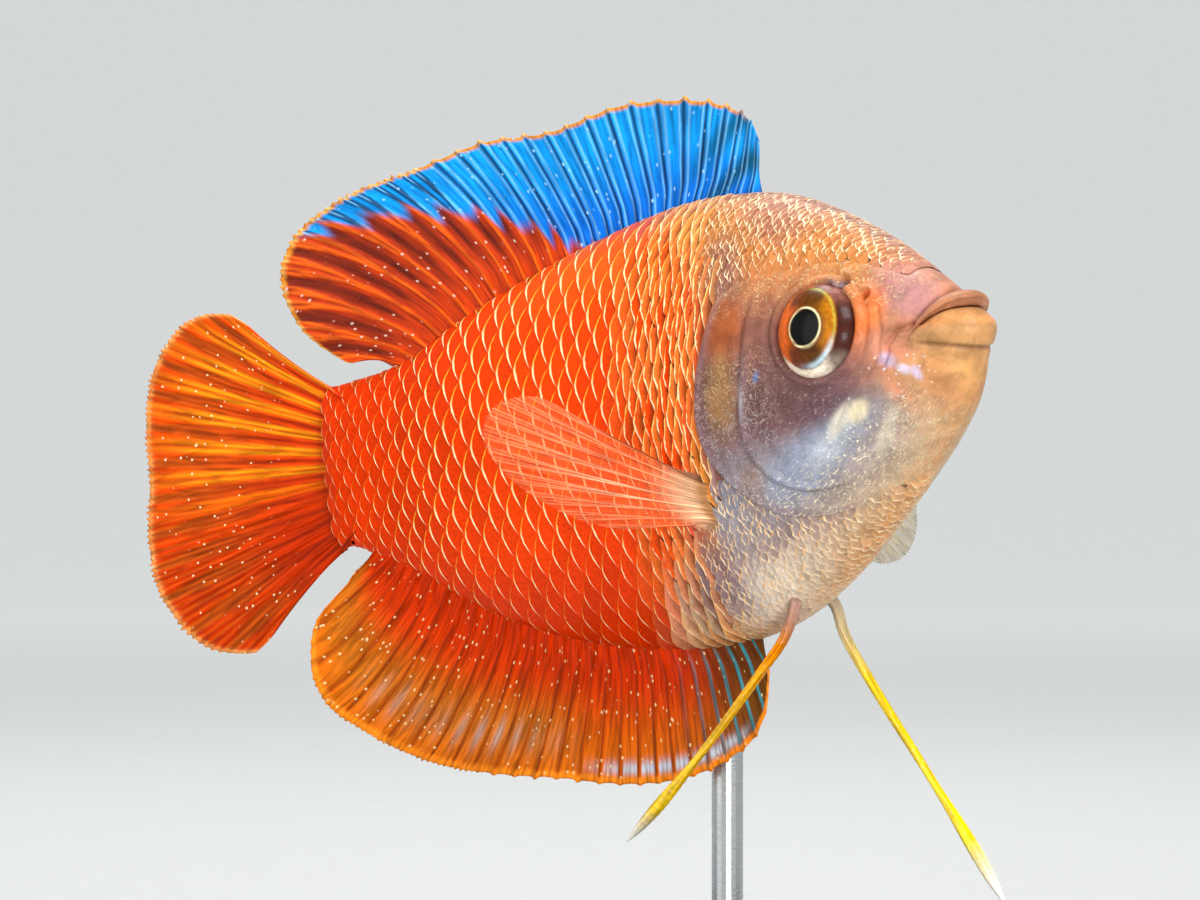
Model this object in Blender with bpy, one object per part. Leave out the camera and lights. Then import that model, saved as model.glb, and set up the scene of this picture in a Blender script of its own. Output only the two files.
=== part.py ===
"""Dwarf gourami, life size, as a still museum model on a plain display stand.

The fish is first laid out straight in its own frame: t runs back from the snout along the
body's axis, y to its left and z up, all in millimetres. place() then bends that axis
sideways, tips it nose up and sets it over the stand. In the finished model +X is the way the
fish faces, +Y is its left and +Z is up, and the origin is the centre of the stand's underside.
"""
import math
from collections import namedtuple

import bmesh
import bpy
import numpy as np

MM = 0.001

# Driving sizes of the fish: snout to the base of the tail fin, in millimetres
STANDARD_LENGTH = 55.0
# Every length below is that of a fish of this standard length
DRAWN_LENGTH = 55.0
# Thin gap kept between nodes that touch
GAP = 0.3

# Pose: turn of the body's axis from +X, in degrees, and the stretch over which it turns
HEAD_YAW = 8.0
STALK_YAW = -6.0
FIN_YAW = -18.0
BODY_BEND = (12.0, 50.0)
FIN_BEND = (48.0, 66.0)
NOSE_UP = 7.0
# The point of the axis that stands over the middle of the base, and its height
CARRIED_AT = 27.0
AXIS_HEIGHT = 39.0

# Cross-sections of head and body. Each has its top, its widest point on the side, and its bottom
Station = namedtuple("Station", "ring top_t top_z side_t side_z half_width low_t low_z")
STATIONS = (
    Station(0.0, 1.0, 2.65, 3.2, 1.5, 2.0, 0.8, 2.3),
    Station(0.5, 0.3, 3.0, 2.9, 1.4, 2.4, -0.15, 1.5),
    Station(1.0, 0.8, 3.6, 3.4, 1.1, 2.7, 0.1, 0.4),
    Station(1.5, 1.5, 3.8, 4.0, 0.9, 2.7, 0.7, -0.2),
    Station(2.0, 2.3, 4.3, 4.7, 0.8, 3.0, 1.2, -1.4),
    Station(3.0, 4.6, 6.1, 6.2, 0.6, 3.7, 2.7, -3.6),
    Station(4.0, 7.6, 8.2, 8.5, 0.3, 4.4, 5.6, -6.2),
    Station(5.0, 11.2, 10.2, 11.5, 0.0, 5.0, 9.8, -9.3),
    Station(6.0, 15.0, 11.8, 15.0, -0.3, 5.5, 14.2, -12.2),
    Station(7.0, 19.0, 12.6, 19.0, -0.6, 5.7, 18.8, -14.2),
    Station(8.0, 24.0, 12.8, 24.0, -0.8, 5.6, 24.0, -15.0),
    Station(9.0, 30.0, 12.2, 30.0, -0.8, 5.1, 30.0, -14.8),
    Station(10.0, 37.0, 10.7, 37.0, -0.6, 4.2, 37.0, -13.6),
    Station(11.0, 44.0, 8.6, 44.0, -0.3, 3.0, 44.0, -11.2),
    Station(12.0, 50.0, 6.2, 50.0, 0.0, 2.0, 50.0, -7.9),
    Station(13.0, 55.0, 5.4, 55.0, 0.0, 1.4, 55.0, -5.5),
)
# How pinched the back and the belly are in cross-section, by ring; 1 is an ellipse
PINCH_RINGS = (0.0, 1.0, 1.5, 3.0, 6.0, 8.0, 13.0)
PINCH_BACK = (0.75, 0.85, 0.9, 1.0, 1.05, 1.2, 1.25)
PINCH_BELLY = (0.75, 1.0, 1.0, 1.0, 1.1, 1.2, 1.25)

# The rear rim of the gill covers, where the head ends: ring by degrees down from the nape
RIM_DEGREES = (0.0, 57.0, 85.0, 105.0, 125.0, 145.0, 165.0, 180.0)
RIM_RINGS = (6.15, 6.7, 7.1, 7.05, 6.25, 5.25, 4.35, 4.1)
# Where the tail stalk starts
STALK_RING = 11.5
# Cuts between head, torso and stalk, wide enough to keep GAP where they run slantwise
HEAD_CUT = 0.5
STALK_CUT = 0.35
# Middle of the cut between head and torso, and the fish's left, in the fish frame
CUT_CENTRE = np.array([15.6, 0.0, -0.4])
LEFT = np.array([0.0, 1.0, 0.0])

HEAD_AROUND = 48
HEAD_LIP_RINGS = (0.0, 0.25, 0.5, 0.75, 1.0, 1.5)
HEAD_RINGS_BEHIND_LIPS = 19
TORSO_AROUND = 40
TORSO_RINGS = 19
STALK_AROUND = 28
STALK_RINGS = 6
MOUTH_DEPTH = 1.0

# Eye: centre on the flank of the head, radius of the ball, its depth, and how far it is sunk
EYE_T = 9.7
EYE_Z = 2.75
EYE_RADIUS = 2.75
EYE_DEPTH = 2.0
EYE_SUNK = 0.8
EYE_RIM_HEIGHT = 0.3
EYE_RIM_WIDTH = 0.5
EYE_AROUND = 22
EYE_RINGS = 10

# Nostrils: place on the snout and radius
NOSTRILS = ((8.0, 5.3, 0.38), (6.4, 4.4, 0.32))

# Gill cover: the arc it spans, its widest reach in rings, its plate's faces from the skin
COVER_ARC = (46.0, 158.0)
COVER_REACH = 1.6
COVER_INNER = -0.5
COVER_RISE = 0.32
COVER_AROUND = 18
COVER_ACROSS = 6
# Blunting of the crescent's two points, the power that makes it full, and the power of its rise
COVER_BLUNT = 0.03
COVER_FULLNESS = 0.7
COVER_RISE_POWER = 0.5
# Set-back of its rear rim from the head's end, and its bed's extra degrees and depth per mm
COVER_SET_BACK = 0.04
BED_DEGREES = 4.0
BED_DEPTH = 3.0

# Fins: spines and soft rays, and half thicknesses of web, spine, soft ray and edge
SPINES = 17
DORSAL_RAYS = 9
ANAL_RAYS = 11
TAIL_RAYS = 13
PECTORAL_RAYS = 9
WEB_HALF = 0.25
SPINE_HALF = 0.42
RAY_HALF = 0.4
TIP_HALF = 0.14
DORSAL_ROOT_HALF = 0.62
ANAL_ROOT_HALF = 0.6
TAIL_ROOT_HALF = 1.0
PECTORAL_ROOT_HALF = 0.45
# Half width of a spine's ridge, and places of a soft ray's forks and feet, in ray spacings
RIDGE_SHARE = 0.17
FORK_SHARE = 0.18
FOOT_SHARE = 0.36
# Sections of a fin along its rays, as shares of their length, and where soft rays fork
FIN_ROWS = (0.0, 0.07, 0.24, 0.5, 0.76, 1.0)
FORK_FROM = 0.4
STEM_TO = 0.6
# Share of the root's extra thickness that the web keeps above it, and how far up
ROOT_KEEPS = 0.35
ROOT_UP_TO = 0.1
# Taper of spines, of a soft ray's stem and of its forks from root to tip
SPINE_TAPER = (1.05, 0.3)
STEM_TAPER = 0.4
FORK_TAPER = 0.22
# How far spines and soft rays reach past the web, and the waves of the webs
SPINE_FRINGE = 0.45
SOFT_FRINGE = 0.2
DORSAL_WAVE = 0.3
ANAL_WAVE = -0.3
TAIL_WAVE = 0.35
WAVE_TURN = 0.55

# Dorsal fin: t of the first and last ray's root, and its margin as ray number, t and z
DORSAL_BASE = (18.6, 50.6)
DORSAL_MARGIN = (
    (0.0, 17.9, 16.3), (2.0, 19.5, 17.7), (4.0, 22.3, 18.9), (7.0, 28.7, 19.9),
    (11.0, 36.3, 19.3), (14.0, 42.2, 19.6), (17.0, 48.2, 18.6), (19.0, 53.1, 17.8),
    (21.0, 57.7, 15.7), (22.5, 59.2, 13.0), (24.0, 57.9, 9.3), (25.0, 55.4, 7.0),
)
# Anal fin, the same way
ANAL_BASE = (22.2, 53.6)
ANAL_MARGIN = (
    (0.0, 21.3, -17.4), (1.0, 21.9, -19.4), (2.0, 22.8, -20.7), (4.0, 25.6, -22.1),
    (7.0, 30.6, -23.0), (10.0, 35.3, -22.9), (13.0, 40.2, -22.1), (16.0, 45.4, -21.4),
    (19.0, 51.0, -20.1), (22.0, 56.0, -17.6), (24.0, 58.7, -15.2), (25.3, 59.3, -12.6),
    (26.3, 58.4, -9.8), (27.0, 56.2, -8.0),
)
# Tail fin: t and heights of its root, and its margin as share from the upper edge, t and z
TAIL_ROOT_T = 55.3
TAIL_ROOT_Z = (5.0, -5.2)
TAIL_MARGIN = (
    (0.0, 64.4, 11.9), (0.08, 66.6, 11.3), (0.2, 69.3, 9.0), (0.35, 70.6, 5.2),
    (0.5, 70.6, 0.6), (0.65, 70.9, -3.8), (0.8, 70.0, -7.8), (0.92, 67.3, -11.0),
    (1.0, 64.6, -12.4),
)
# Pectoral fins: t and z of the root's ends, length by ray, degrees of its first and last ray
# above its axis, and how far each is swung out from the flank and dropped
PECTORAL_ROOT = ((20.1, -5.5), (20.3, -8.1))
PECTORAL_LENGTHS = (12.4, 14.2, 15.3, 15.6, 15.0, 13.6, 11.6, 9.2, 6.8)
PECTORAL_SPREAD = (31.0, 4.0)
PECTORAL_CAMBER = 0.5
RIGHT_SWING = 23.0
LEFT_SWING = 68.0
LEFT_DROP = 26.0
# Thread-like pelvic fins: t and y of the root on the belly, then points of the thread's run
PELVIC_ROOT = (16.9, 1.5)
RIGHT_PELVIC_RUN = (
    (17.7, -1.9, -15.0), (19.4, -2.6, -17.0), (23.0, -3.4, -20.4), (27.0, -3.9, -23.6),
    (31.2, -4.2, -26.6),
)
LEFT_PELVIC_RUN = (
    (16.4, 1.8, -15.0), (15.2, 2.4, -18.0), (12.6, 3.6, -23.4), (10.2, 4.7, -28.4),
    (8.4, 5.6, -32.6),
)
# Extra room at the thread's round root, its radii, and its sides and steps
PELVIC_SINK = 0.05
PELVIC_ROOT_RADIUS = 0.52
PELVIC_END_RADIUS = 0.27
PELVIC_SIDES = 8
PELVIC_STEPS = 16

# Display stand
BASE_LENGTH = 64.0
BASE_WIDTH = 40.0
BASE_THICKNESS = 5.0
BASE_CORNER = 9.0
BASE_BEVEL = 0.8
ROD_RADIUS = 1.0
ROD_T = 27.5
ROD_Y = 2.75
ROD_FOOT_RADIUS = 3.2
ROD_FOOT_HEIGHT = 1.2
ROD_SIDES = 20

# Colours as linear red, green and blue
ORANGE_RED = (0.85, 0.13, 0.02)
FLAME_RED = (0.78, 0.08, 0.01)
TAN_ORANGE = (0.50, 0.24, 0.12)
SILVER_MAUVE = (0.36, 0.27, 0.28)
AZURE = (0.02, 0.25, 0.62)
YELLOW_ORANGE = (0.85, 0.38, 0.04)
CLEAR_SALMON = (0.80, 0.30, 0.16)
EYE_BROWN = (0.05, 0.02, 0.015)
STAND_BLACK = (0.03, 0.03, 0.032)
STEEL = (0.55, 0.56, 0.57)


def smooth(xs, ys, at):
    """Value at `at` of a smooth curve through the points (xs, ys)."""
    xs = np.asarray(xs, float)
    ys = np.asarray(ys, float)
    step = np.diff(xs)
    rise = np.diff(ys) / step
    slope = np.empty_like(ys)
    slope[1:-1] = (rise[:-1] * step[1:] + rise[1:] * step[:-1]) / (step[:-1] + step[1:])
    slope[0] = rise[0]
    slope[-1] = rise[-1]
    at = np.clip(np.asarray(at, float), xs[0], xs[-1])
    k = np.clip(np.searchsorted(xs, at, side="right") - 1, 0, len(step) - 1)
    u = (at - xs[k]) / step[k]
    start = ys[k] * (1 + 2 * u) * (1 - u) ** 2 + slope[k] * step[k] * u * (1 - u) ** 2
    end = ys[k + 1] * u * u * (3 - 2 * u) + slope[k + 1] * step[k] * u * u * (u - 1)
    return start + end


def ease(at, span):
    """0 before the span, 1 after it, and a smooth step between."""
    u = np.clip((np.asarray(at, float) - span[0]) / (span[1] - span[0]), 0.0, 1.0)
    return u * u * (3 - 2 * u)


def axis_yaw(t):
    """Turn of the body's axis at t, in radians."""
    yaw = HEAD_YAW + (STALK_YAW - HEAD_YAW) * ease(t, BODY_BEND)
    return np.radians(yaw + (FIN_YAW - STALK_YAW) * ease(t, FIN_BEND))


def axis_path():
    """The bent axis, as t and its x and y, measured from the carried point."""
    t = np.linspace(-10.0, 80.0, 901)
    yaw = axis_yaw(t)
    middle = (yaw[1:] + yaw[:-1]) / 2
    x = np.concatenate([[0.0], np.cumsum(-np.cos(middle) * np.diff(t))])
    y = np.concatenate([[0.0], np.cumsum(np.sin(middle) * np.diff(t))])
    return t, x - np.interp(CARRIED_AT, t, x), y - np.interp(CARRIED_AT, t, y)


AXIS_T, AXIS_X, AXIS_Y = axis_path()


def place(points):
    """Fish-frame points (t, y, z) to the model's frame, in millimetres."""
    points = np.asarray(points, float)
    t, y, z = points[..., 0], points[..., 1], points[..., 2]
    yaw = axis_yaw(t)
    x_flat = np.interp(t, AXIS_T, AXIS_X) + y * np.sin(yaw)
    y_flat = np.interp(t, AXIS_T, AXIS_Y) + y * np.cos(yaw)
    tip = math.radians(NOSE_UP)
    x = x_flat * math.cos(tip) - z * math.sin(tip)
    up = x_flat * math.sin(tip) + z * math.cos(tip)
    scale = STANDARD_LENGTH / DRAWN_LENGTH
    return np.stack([x * scale, y_flat * scale, up * scale + AXIS_HEIGHT], axis=-1)


def skin(ring, degrees):
    """Point of the body's surface: ring counts back through the stations, degrees run from
    the back (0) down the right side (90) to the belly (180) and up the left side (270)."""
    ring, angle = np.broadcast_arrays(np.asarray(ring, float), np.radians(degrees))
    rings = [s.ring for s in STATIONS]
    value = {f: smooth(rings, [getattr(s, f) for s in STATIONS], ring) for f in Station._fields[1:]}
    high = np.cos(angle) >= 0
    pinch = np.where(high, np.interp(ring, PINCH_RINGS, PINCH_BACK),
                     np.interp(ring, PINCH_RINGS, PINCH_BELLY))
    share = np.abs(np.cos(angle)) ** pinch
    end_t = np.where(high, value["top_t"], value["low_t"])
    end_z = np.where(high, value["top_z"], value["low_z"])
    t = value["side_t"] + (end_t - value["side_t"]) * share
    z = value["side_z"] + (end_z - value["side_z"]) * share
    return np.stack([t, -value["half_width"] * np.sin(angle), z], axis=-1)


def outward(ring, degrees):
    """Unit normal of the body's surface, out of the flesh."""
    ring, degrees = np.broadcast_arrays(np.asarray(ring, float), np.asarray(degrees, float))
    along = skin(ring + 0.02, degrees) - skin(ring - 0.02, degrees)
    around = skin(ring, degrees + 0.5) - skin(ring, degrees - 0.5)
    normal = np.cross(along, around)
    normal /= np.linalg.norm(normal, axis=-1, keepdims=True)
    flank = np.stack([0 * ring, -np.sin(np.radians(degrees)), np.cos(np.radians(degrees))], axis=-1)
    facing = np.sign(np.sum(normal * flank, axis=-1, keepdims=True))
    return normal * facing


def find_on_skin(t, z, side=-1):
    """Ring and degrees of the flank's point that has this t and z; side -1 is the right."""
    rings, degrees = np.meshgrid(np.linspace(1.0, 13.0, 481), np.linspace(1.0, 179.0, 357))
    points = skin(rings, degrees)
    miss = (points[..., 0] - t) ** 2 + (points[..., 2] - z) ** 2
    best = np.unravel_index(np.argmin(miss), miss.shape)
    down = degrees[best] if side < 0 else 360.0 - degrees[best]
    return rings[best], down


def rim_ring(degrees):
    """Ring of the gill covers' rear rim, alike on both sides."""
    down = np.abs((np.asarray(degrees, float) + 180.0) % 360.0 - 180.0)
    return smooth(RIM_DEGREES, RIM_RINGS, down)


def rings_for(distance, ring, degrees):
    """How many rings make this distance in millimetres along the surface."""
    reach = skin(ring + 0.05, degrees) - skin(ring - 0.05, degrees)
    return distance * 0.1 / np.linalg.norm(reach, axis=-1)


def profile_z(t, degrees):
    """Height of the back (0) or the belly (180) line at t."""
    rings = np.linspace(2.0, 13.0, 400)
    line = skin(rings, degrees)
    return np.interp(t, line[:, 0], line[:, 2])


def orbit_relief(points, normals):
    """The head's points with a low fleshy rim raised round each eye."""
    ring, down = find_on_skin(EYE_T, EYE_Z)
    centre = skin(ring, down)
    mirrored = np.stack([points[..., 0], -np.abs(points[..., 1]), points[..., 2]], axis=-1)
    distance = np.linalg.norm(mirrored - centre, axis=-1)
    bump = EYE_RIM_HEIGHT * np.exp(-((distance - EYE_RADIUS) / EYE_RIM_WIDTH) ** 2)
    return points + normals * bump[..., None]


def material(name, colour, roughness=0.4, metallic=0.0):
    """A Principled material with one colour."""
    made = bpy.data.materials.new(name)
    made.use_nodes = True
    shader = made.node_tree.nodes["Principled BSDF"]
    shader.inputs["Base Color"].default_value = (*colour, 1.0)
    shader.inputs["Roughness"].default_value = roughness
    shader.inputs["Metallic"].default_value = metallic
    made.diffuse_color = (*colour, 1.0)
    return made


def add_object(name, points, faces, finish):
    """A closed mesh object from model-frame points in millimetres, faces pointing out."""
    mesh = bpy.data.meshes.new(name)
    mesh.from_pydata([tuple(p) for p in np.asarray(points) * MM], [], faces)
    work = bmesh.new()
    work.from_mesh(mesh)
    bmesh.ops.recalc_face_normals(work, faces=work.faces)
    work.to_mesh(mesh)
    work.free()
    mesh.shade_smooth()
    mesh.set_sharp_from_angle(angle=math.radians(40.0))
    made = bpy.data.objects.new(name, mesh)
    mesh.materials.append(finish)
    bpy.context.collection.objects.link(made)
    return made


def split(a, b, c, d):
    """A four-sided face as two triangles, always along the same diagonal."""
    return [(a, b, c), (a, c, d)]


def sleeve_faces(rows, around, first=0):
    """Triangles of a closed sleeve of rows rings with around points each."""
    faces = []
    for row in range(rows - 1):
        for j in range(around):
            a = first + row * around + j
            b = first + row * around + (j + 1) % around
            faces += split(a, b, b + around, a + around)
    return faces


def add_cap(points, faces, rim_start, around, centre):
    """Closes the ring that starts at rim_start with a fan over a half-way ring."""
    rim = np.array(points[rim_start:rim_start + around])
    half = len(points)
    points.extend(centre + (rim - centre) * 0.5)
    middle = len(points)
    points.append(centre)
    for j in range(around):
        k = (j + 1) % around
        faces += split(rim_start + j, rim_start + k, half + k, half + j)
        faces.append((half + j, half + k, middle))


def body_piece(name, rings, around, finish, relief=False, mouth=False, cap_centres=(None, None)):
    """A length of the body: rings is a function of the angles that gives one row per ring."""
    degrees = np.arange(around) * 360.0 / around
    grid = rings(degrees)
    surface = skin(grid, degrees)
    if relief:
        surface = orbit_relief(surface, outward(np.maximum(grid, 0.3), degrees))
    points = list(surface.reshape(-1, 3))
    faces = sleeve_faces(len(grid), around)
    if mouth:
        add_mouth(points, faces, around)
    else:
        add_cap(points, faces, 0, around, cap_centres[0])
    add_cap(points, faces, (len(grid) - 1) * around, around, cap_centres[1])
    return add_object(name, place(points), faces, finish)


def add_mouth(points, faces, around):
    """The closed mouth: the first ring runs back into a shallow slot and is closed there."""
    inner = len(points)
    for j in range(around):
        points.append(points[j] + [MOUTH_DEPTH, 0.0, 0.0])
    for j in range(around):
        k = (j + 1) % around
        faces += split(j, k, inner + k, inner + j)
    quarter = around // 4
    for j in range(-quarter, quarter):
        upper = (inner + j % around, inner + (j + 1) % around)
        lower = (inner + (2 * quarter - j) % around, inner + (2 * quarter - j - 1) % around)
        corner = [upper[0], upper[1], lower[1], lower[0]]
        if j == -quarter:
            faces.append((corner[0], corner[1], corner[2]))
        elif j == quarter - 1:
            faces.append((corner[0], corner[1], corner[3]))
        else:
            faces += split(*corner)


def blob(name, centre, frame, radii, finish, around=16, rings=8):
    """An egg-shaped solid: centre in the fish frame, frame rows are its two wide axes and
    its depth axis, radii its half sizes along them."""
    points = [centre + frame[2] * radii[2]]
    for i in range(1, rings):
        polar = math.pi * i / rings
        for j in range(around):
            turn = 2 * math.pi * j / around
            local = (math.sin(polar) * math.cos(turn) * radii[0],
                     math.sin(polar) * math.sin(turn) * radii[1],
                     math.cos(polar) * radii[2])
            points.append(centre + np.array(local) @ frame)
    points.append(centre - frame[2] * radii[2])
    last = len(points) - 1
    faces = sleeve_faces(rings - 1, around, first=1)
    for j in range(around):
        k = (j + 1) % around
        faces.append((0, 1 + j, 1 + k))
        faces.append((last, last - around + k, last - around + j))
    return add_object(name, place(points), faces, finish)


def surface_frame(t, z, side):
    """Point and axes (back, up, out) of the flank at this t and z."""
    ring, down = find_on_skin(t, z, side)
    centre = skin(ring, down)
    out = outward(ring, down)
    back = np.array([1.0, 0.0, 0.0]) - out * out[0]
    back /= np.linalg.norm(back)
    up = np.cross(back, out)
    up *= np.sign(up[2])
    return centre, np.array([back, up, out])


def largest_body(made):
    """Drops every loose scrap of a mesh but its largest connected surface."""
    work = bmesh.new()
    work.from_mesh(made.data)
    bmesh.ops.triangulate(work, faces=work.faces)
    left = set(work.verts)
    groups = []
    while left:
        seed = left.pop()
        group = {seed}
        edge_of_group = [seed]
        while edge_of_group:
            vert = edge_of_group.pop()
            for edge in vert.link_edges:
                other = edge.other_vert(vert)
                if other not in group:
                    group.add(other)
                    edge_of_group.append(other)
        left -= group
        groups.append(group)
    groups.sort(key=len)
    scraps = [v for group in groups[:-1] for v in group]
    bmesh.ops.delete(work, geom=scraps, context="VERTS")
    work.to_mesh(made.data)
    work.free()


def cut(made, cutters):
    """Cuts closed solids out of an object, one after another, and removes them."""
    for cutter in cutters:
        cutter.hide_render = True
        cutter.display_type = "WIRE"
        boolean = made.modifiers.new("cut", "BOOLEAN")
        boolean.operation = "DIFFERENCE"
        boolean.solver = "EXACT"
        boolean.object = cutter
    bpy.context.view_layer.update()
    evaluated = made.evaluated_get(bpy.context.evaluated_depsgraph_get())
    result = bpy.data.meshes.new_from_object(evaluated)
    made.modifiers.clear()
    made.data = result
    for cutter in cutters:
        bpy.data.objects.remove(cutter)
    largest_body(made)


def cover_plate(name, side, finish, grow=0.0):
    """A gill cover: a crescent of the skin with its point up behind the eye and its other
    point on the throat. grow enlarges it all round, to cut its bed in the head."""
    lean = np.linspace(0.0, 1.0, COVER_AROUND + 1)
    across = np.linspace(0.0, 1.0, COVER_ACROSS + 1)
    wider = BED_DEGREES * grow
    arc = COVER_ARC[0] - wider + lean * (COVER_ARC[1] - COVER_ARC[0] + 2 * wider)
    rim = rim_ring(arc)
    blunt = np.clip(lean, COVER_BLUNT, 1.0 - COVER_BLUNT)
    crescent = np.sin(math.pi * blunt) ** COVER_FULLNESS
    front = rim - COVER_REACH * crescent - rings_for(grow, rim, arc)
    back = rim + rings_for(BED_DEPTH * grow - COVER_SET_BACK, rim, arc)
    rings = front[:, None] + (back - front)[:, None] * across[None, :]
    down = np.broadcast_to(arc[:, None], rings.shape)
    if side > 0:
        down = 360.0 - down
    normal = outward(rings, down)
    base = skin(rings, down)
    rise = COVER_RISE * np.sin(math.pi * lean)[:, None] * across[None, :] ** COVER_RISE_POWER
    outer = base + normal * (rise + BED_DEPTH * grow)[..., None]
    inner = base + normal * (COVER_INNER - grow)
    return slab(name, outer, inner, finish)


def slab(name, front, back, finish):
    """A closed sheet between two grids of fish-frame points, cut alike on both faces."""
    rows, columns = front.shape[:2]
    points = np.concatenate([front.reshape(-1, 3), back.reshape(-1, 3)])
    other = rows * columns
    faces = []
    for r in range(rows - 1):
        for c in range(columns - 1):
            a = r * columns + c
            for one in split(a, a + 1, a + 1 + columns, a + columns):
                faces.append(one)
                faces.append(tuple(other + i for i in reversed(one)))
    border = [c for c in range(columns)]
    border += [r * columns + columns - 1 for r in range(1, rows)]
    border += [(rows - 1) * columns + c for c in range(columns - 2, -1, -1)]
    border += [r * columns for r in range(rows - 2, 0, -1)]
    for a, b in zip(border, border[1:] + border[:1]):
        faces += split(a, b, other + b, other + a)
    return add_object(name, place(points), faces, finish)


def fin_columns(spines, rays, forked):
    """Places across a fin, in rays: a spine is a ridge between two feet, and a forked ray is
    one ridge that splits into two."""
    columns = []
    for k in range(spines + rays):
        if k < spines or not forked:
            columns += [(k - RIDGE_SHARE, "foot"), (k, "spine"), (k + RIDGE_SHARE, "foot")]
        else:
            columns += [(k - FOOT_SHARE, "foot"), (k - FORK_SHARE, "fork"), (k, "stem"),
                        (k + FORK_SHARE, "fork"), (k + FOOT_SHARE, "foot")]
    return columns


def fin_half(kind, share, root_half):
    """Half thickness of a fin at this share of its length, thick and fleshy at the root."""
    if share == 0.0:
        return root_half
    web = WEB_HALF + (root_half - WEB_HALF) * ROOT_KEEPS * (share < ROOT_UP_TO)
    edge = 1.0 if share < 1.0 else TIP_HALF / WEB_HALF
    if kind == "spine":
        return max(web, SPINE_HALF * (SPINE_TAPER[0] - SPINE_TAPER[1] * share)) * edge
    if kind == "stem" and share < STEM_TO:
        return max(web, RAY_HALF * (1.0 - STEM_TAPER * share))
    if kind == "fork" and share > FORK_FROM:
        return RAY_HALF * (1.0 - FORK_TAPER * share) * edge
    return web * edge


def fin(name, counts, forked, root, tip, bow, normal, root_half, fringe, wave, finish):
    """A rayed fin. counts are its spines and soft rays, root(k) and tip(k) the ends of ray k
    in the fish frame, bow(k) the vector that curves its middle, normal the way it faces."""
    columns = fin_columns(*counts, forked)
    last = sum(counts) - 1
    at = np.array([c[0] for c in columns])
    inside = np.clip(at, 0.0, last)
    ends = root(np.array([last / 2 - 0.5, last / 2 + 0.5]))
    tips = tip(inside) + (ends[1] - ends[0]) * (at - inside)[:, None]
    roots = root(at)
    reach = tips - roots
    length = np.linalg.norm(reach, axis=1, keepdims=True)
    past = np.array([fringe if c[1] in ("spine", "fork") else 0.0 for c in columns])
    tips = tips + reach / length * past[:, None]
    shares = np.array(FIN_ROWS)[:, None, None]
    grid = roots + (tips - roots) * shares + bow(inside) * 4.0 * shares * (1.0 - shares)
    ripple = wave * np.sin(inside * WAVE_TURN) * np.array(FIN_ROWS)[:, None] ** 1.5
    grid = grid + ripple[..., None] * normal
    half = np.array([[fin_half(c[1], s, root_half) for c in columns] for s in FIN_ROWS])
    return slab(name, grid + half[..., None] * normal, grid - half[..., None] * normal, finish)


def margin(table, at):
    """Fish-frame point on a fin's margin."""
    keys = [row[0] for row in table]
    t = smooth(keys, [row[1] for row in table], at)
    z = smooth(keys, [row[2] for row in table], at)
    return np.stack([t, 0 * t, z], axis=-1)


def dorsal_fin(finish):
    """The long fin of the back, spines in front and soft rays in its rear lobe."""
    last = SPINES + DORSAL_RAYS - 1

    def root(k):
        t = DORSAL_BASE[0] + (DORSAL_BASE[1] - DORSAL_BASE[0]) * k / last
        return np.stack([t, 0 * t, profile_z(t, 0.0) + GAP], axis=-1)

    def bow(k):
        lean = ease(k, (8.0, 20.0)) * (1.0 - 0.6 * ease(k, (22.0, 25.0)))
        return np.stack([-0.2 * lean, 0 * lean, 0.9 * lean], axis=-1)

    return fin("dorsal_fin", (SPINES, DORSAL_RAYS), True, root,
               lambda k: margin(DORSAL_MARGIN, k), bow, LEFT, DORSAL_ROOT_HALF, SPINE_FRINGE,
               DORSAL_WAVE, finish)


def anal_fin(finish):
    """The long fin under the body, from behind the vent to the tail stalk."""
    last = SPINES + ANAL_RAYS - 1

    def root(k):
        t = ANAL_BASE[0] + (ANAL_BASE[1] - ANAL_BASE[0]) * k / last
        return np.stack([t, 0 * t, profile_z(t, 180.0) - GAP], axis=-1)

    def bow(k):
        lean = ease(k, (6.0, 20.0)) * (1.0 - ease(k, (23.0, 27.0)))
        return np.stack([-0.2 * lean, 0 * lean, -0.6 * lean], axis=-1)

    return fin("anal_fin", (SPINES, ANAL_RAYS), True, root,
               lambda k: margin(ANAL_MARGIN, k), bow, LEFT, ANAL_ROOT_HALF, SPINE_FRINGE,
               ANAL_WAVE, finish)


def tail_fin(finish):
    """The rounded tail fin, all soft forked rays."""
    last = TAIL_RAYS - 1

    def root(k):
        z = TAIL_ROOT_Z[0] + (TAIL_ROOT_Z[1] - TAIL_ROOT_Z[0]) * k / last
        return np.stack([TAIL_ROOT_T + 0 * z, 0 * z, z], axis=-1)

    def bow(k):
        lean = 1.0 - 2.0 * k / last
        return np.stack([0 * lean, 0 * lean, -0.5 * lean ** 3], axis=-1)

    return fin("caudal_fin", (0, TAIL_RAYS), True, root,
               lambda k: margin(TAIL_MARGIN, k / last), bow, LEFT, TAIL_ROOT_HALF, SOFT_FRINGE,
               TAIL_WAVE, finish)


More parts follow.
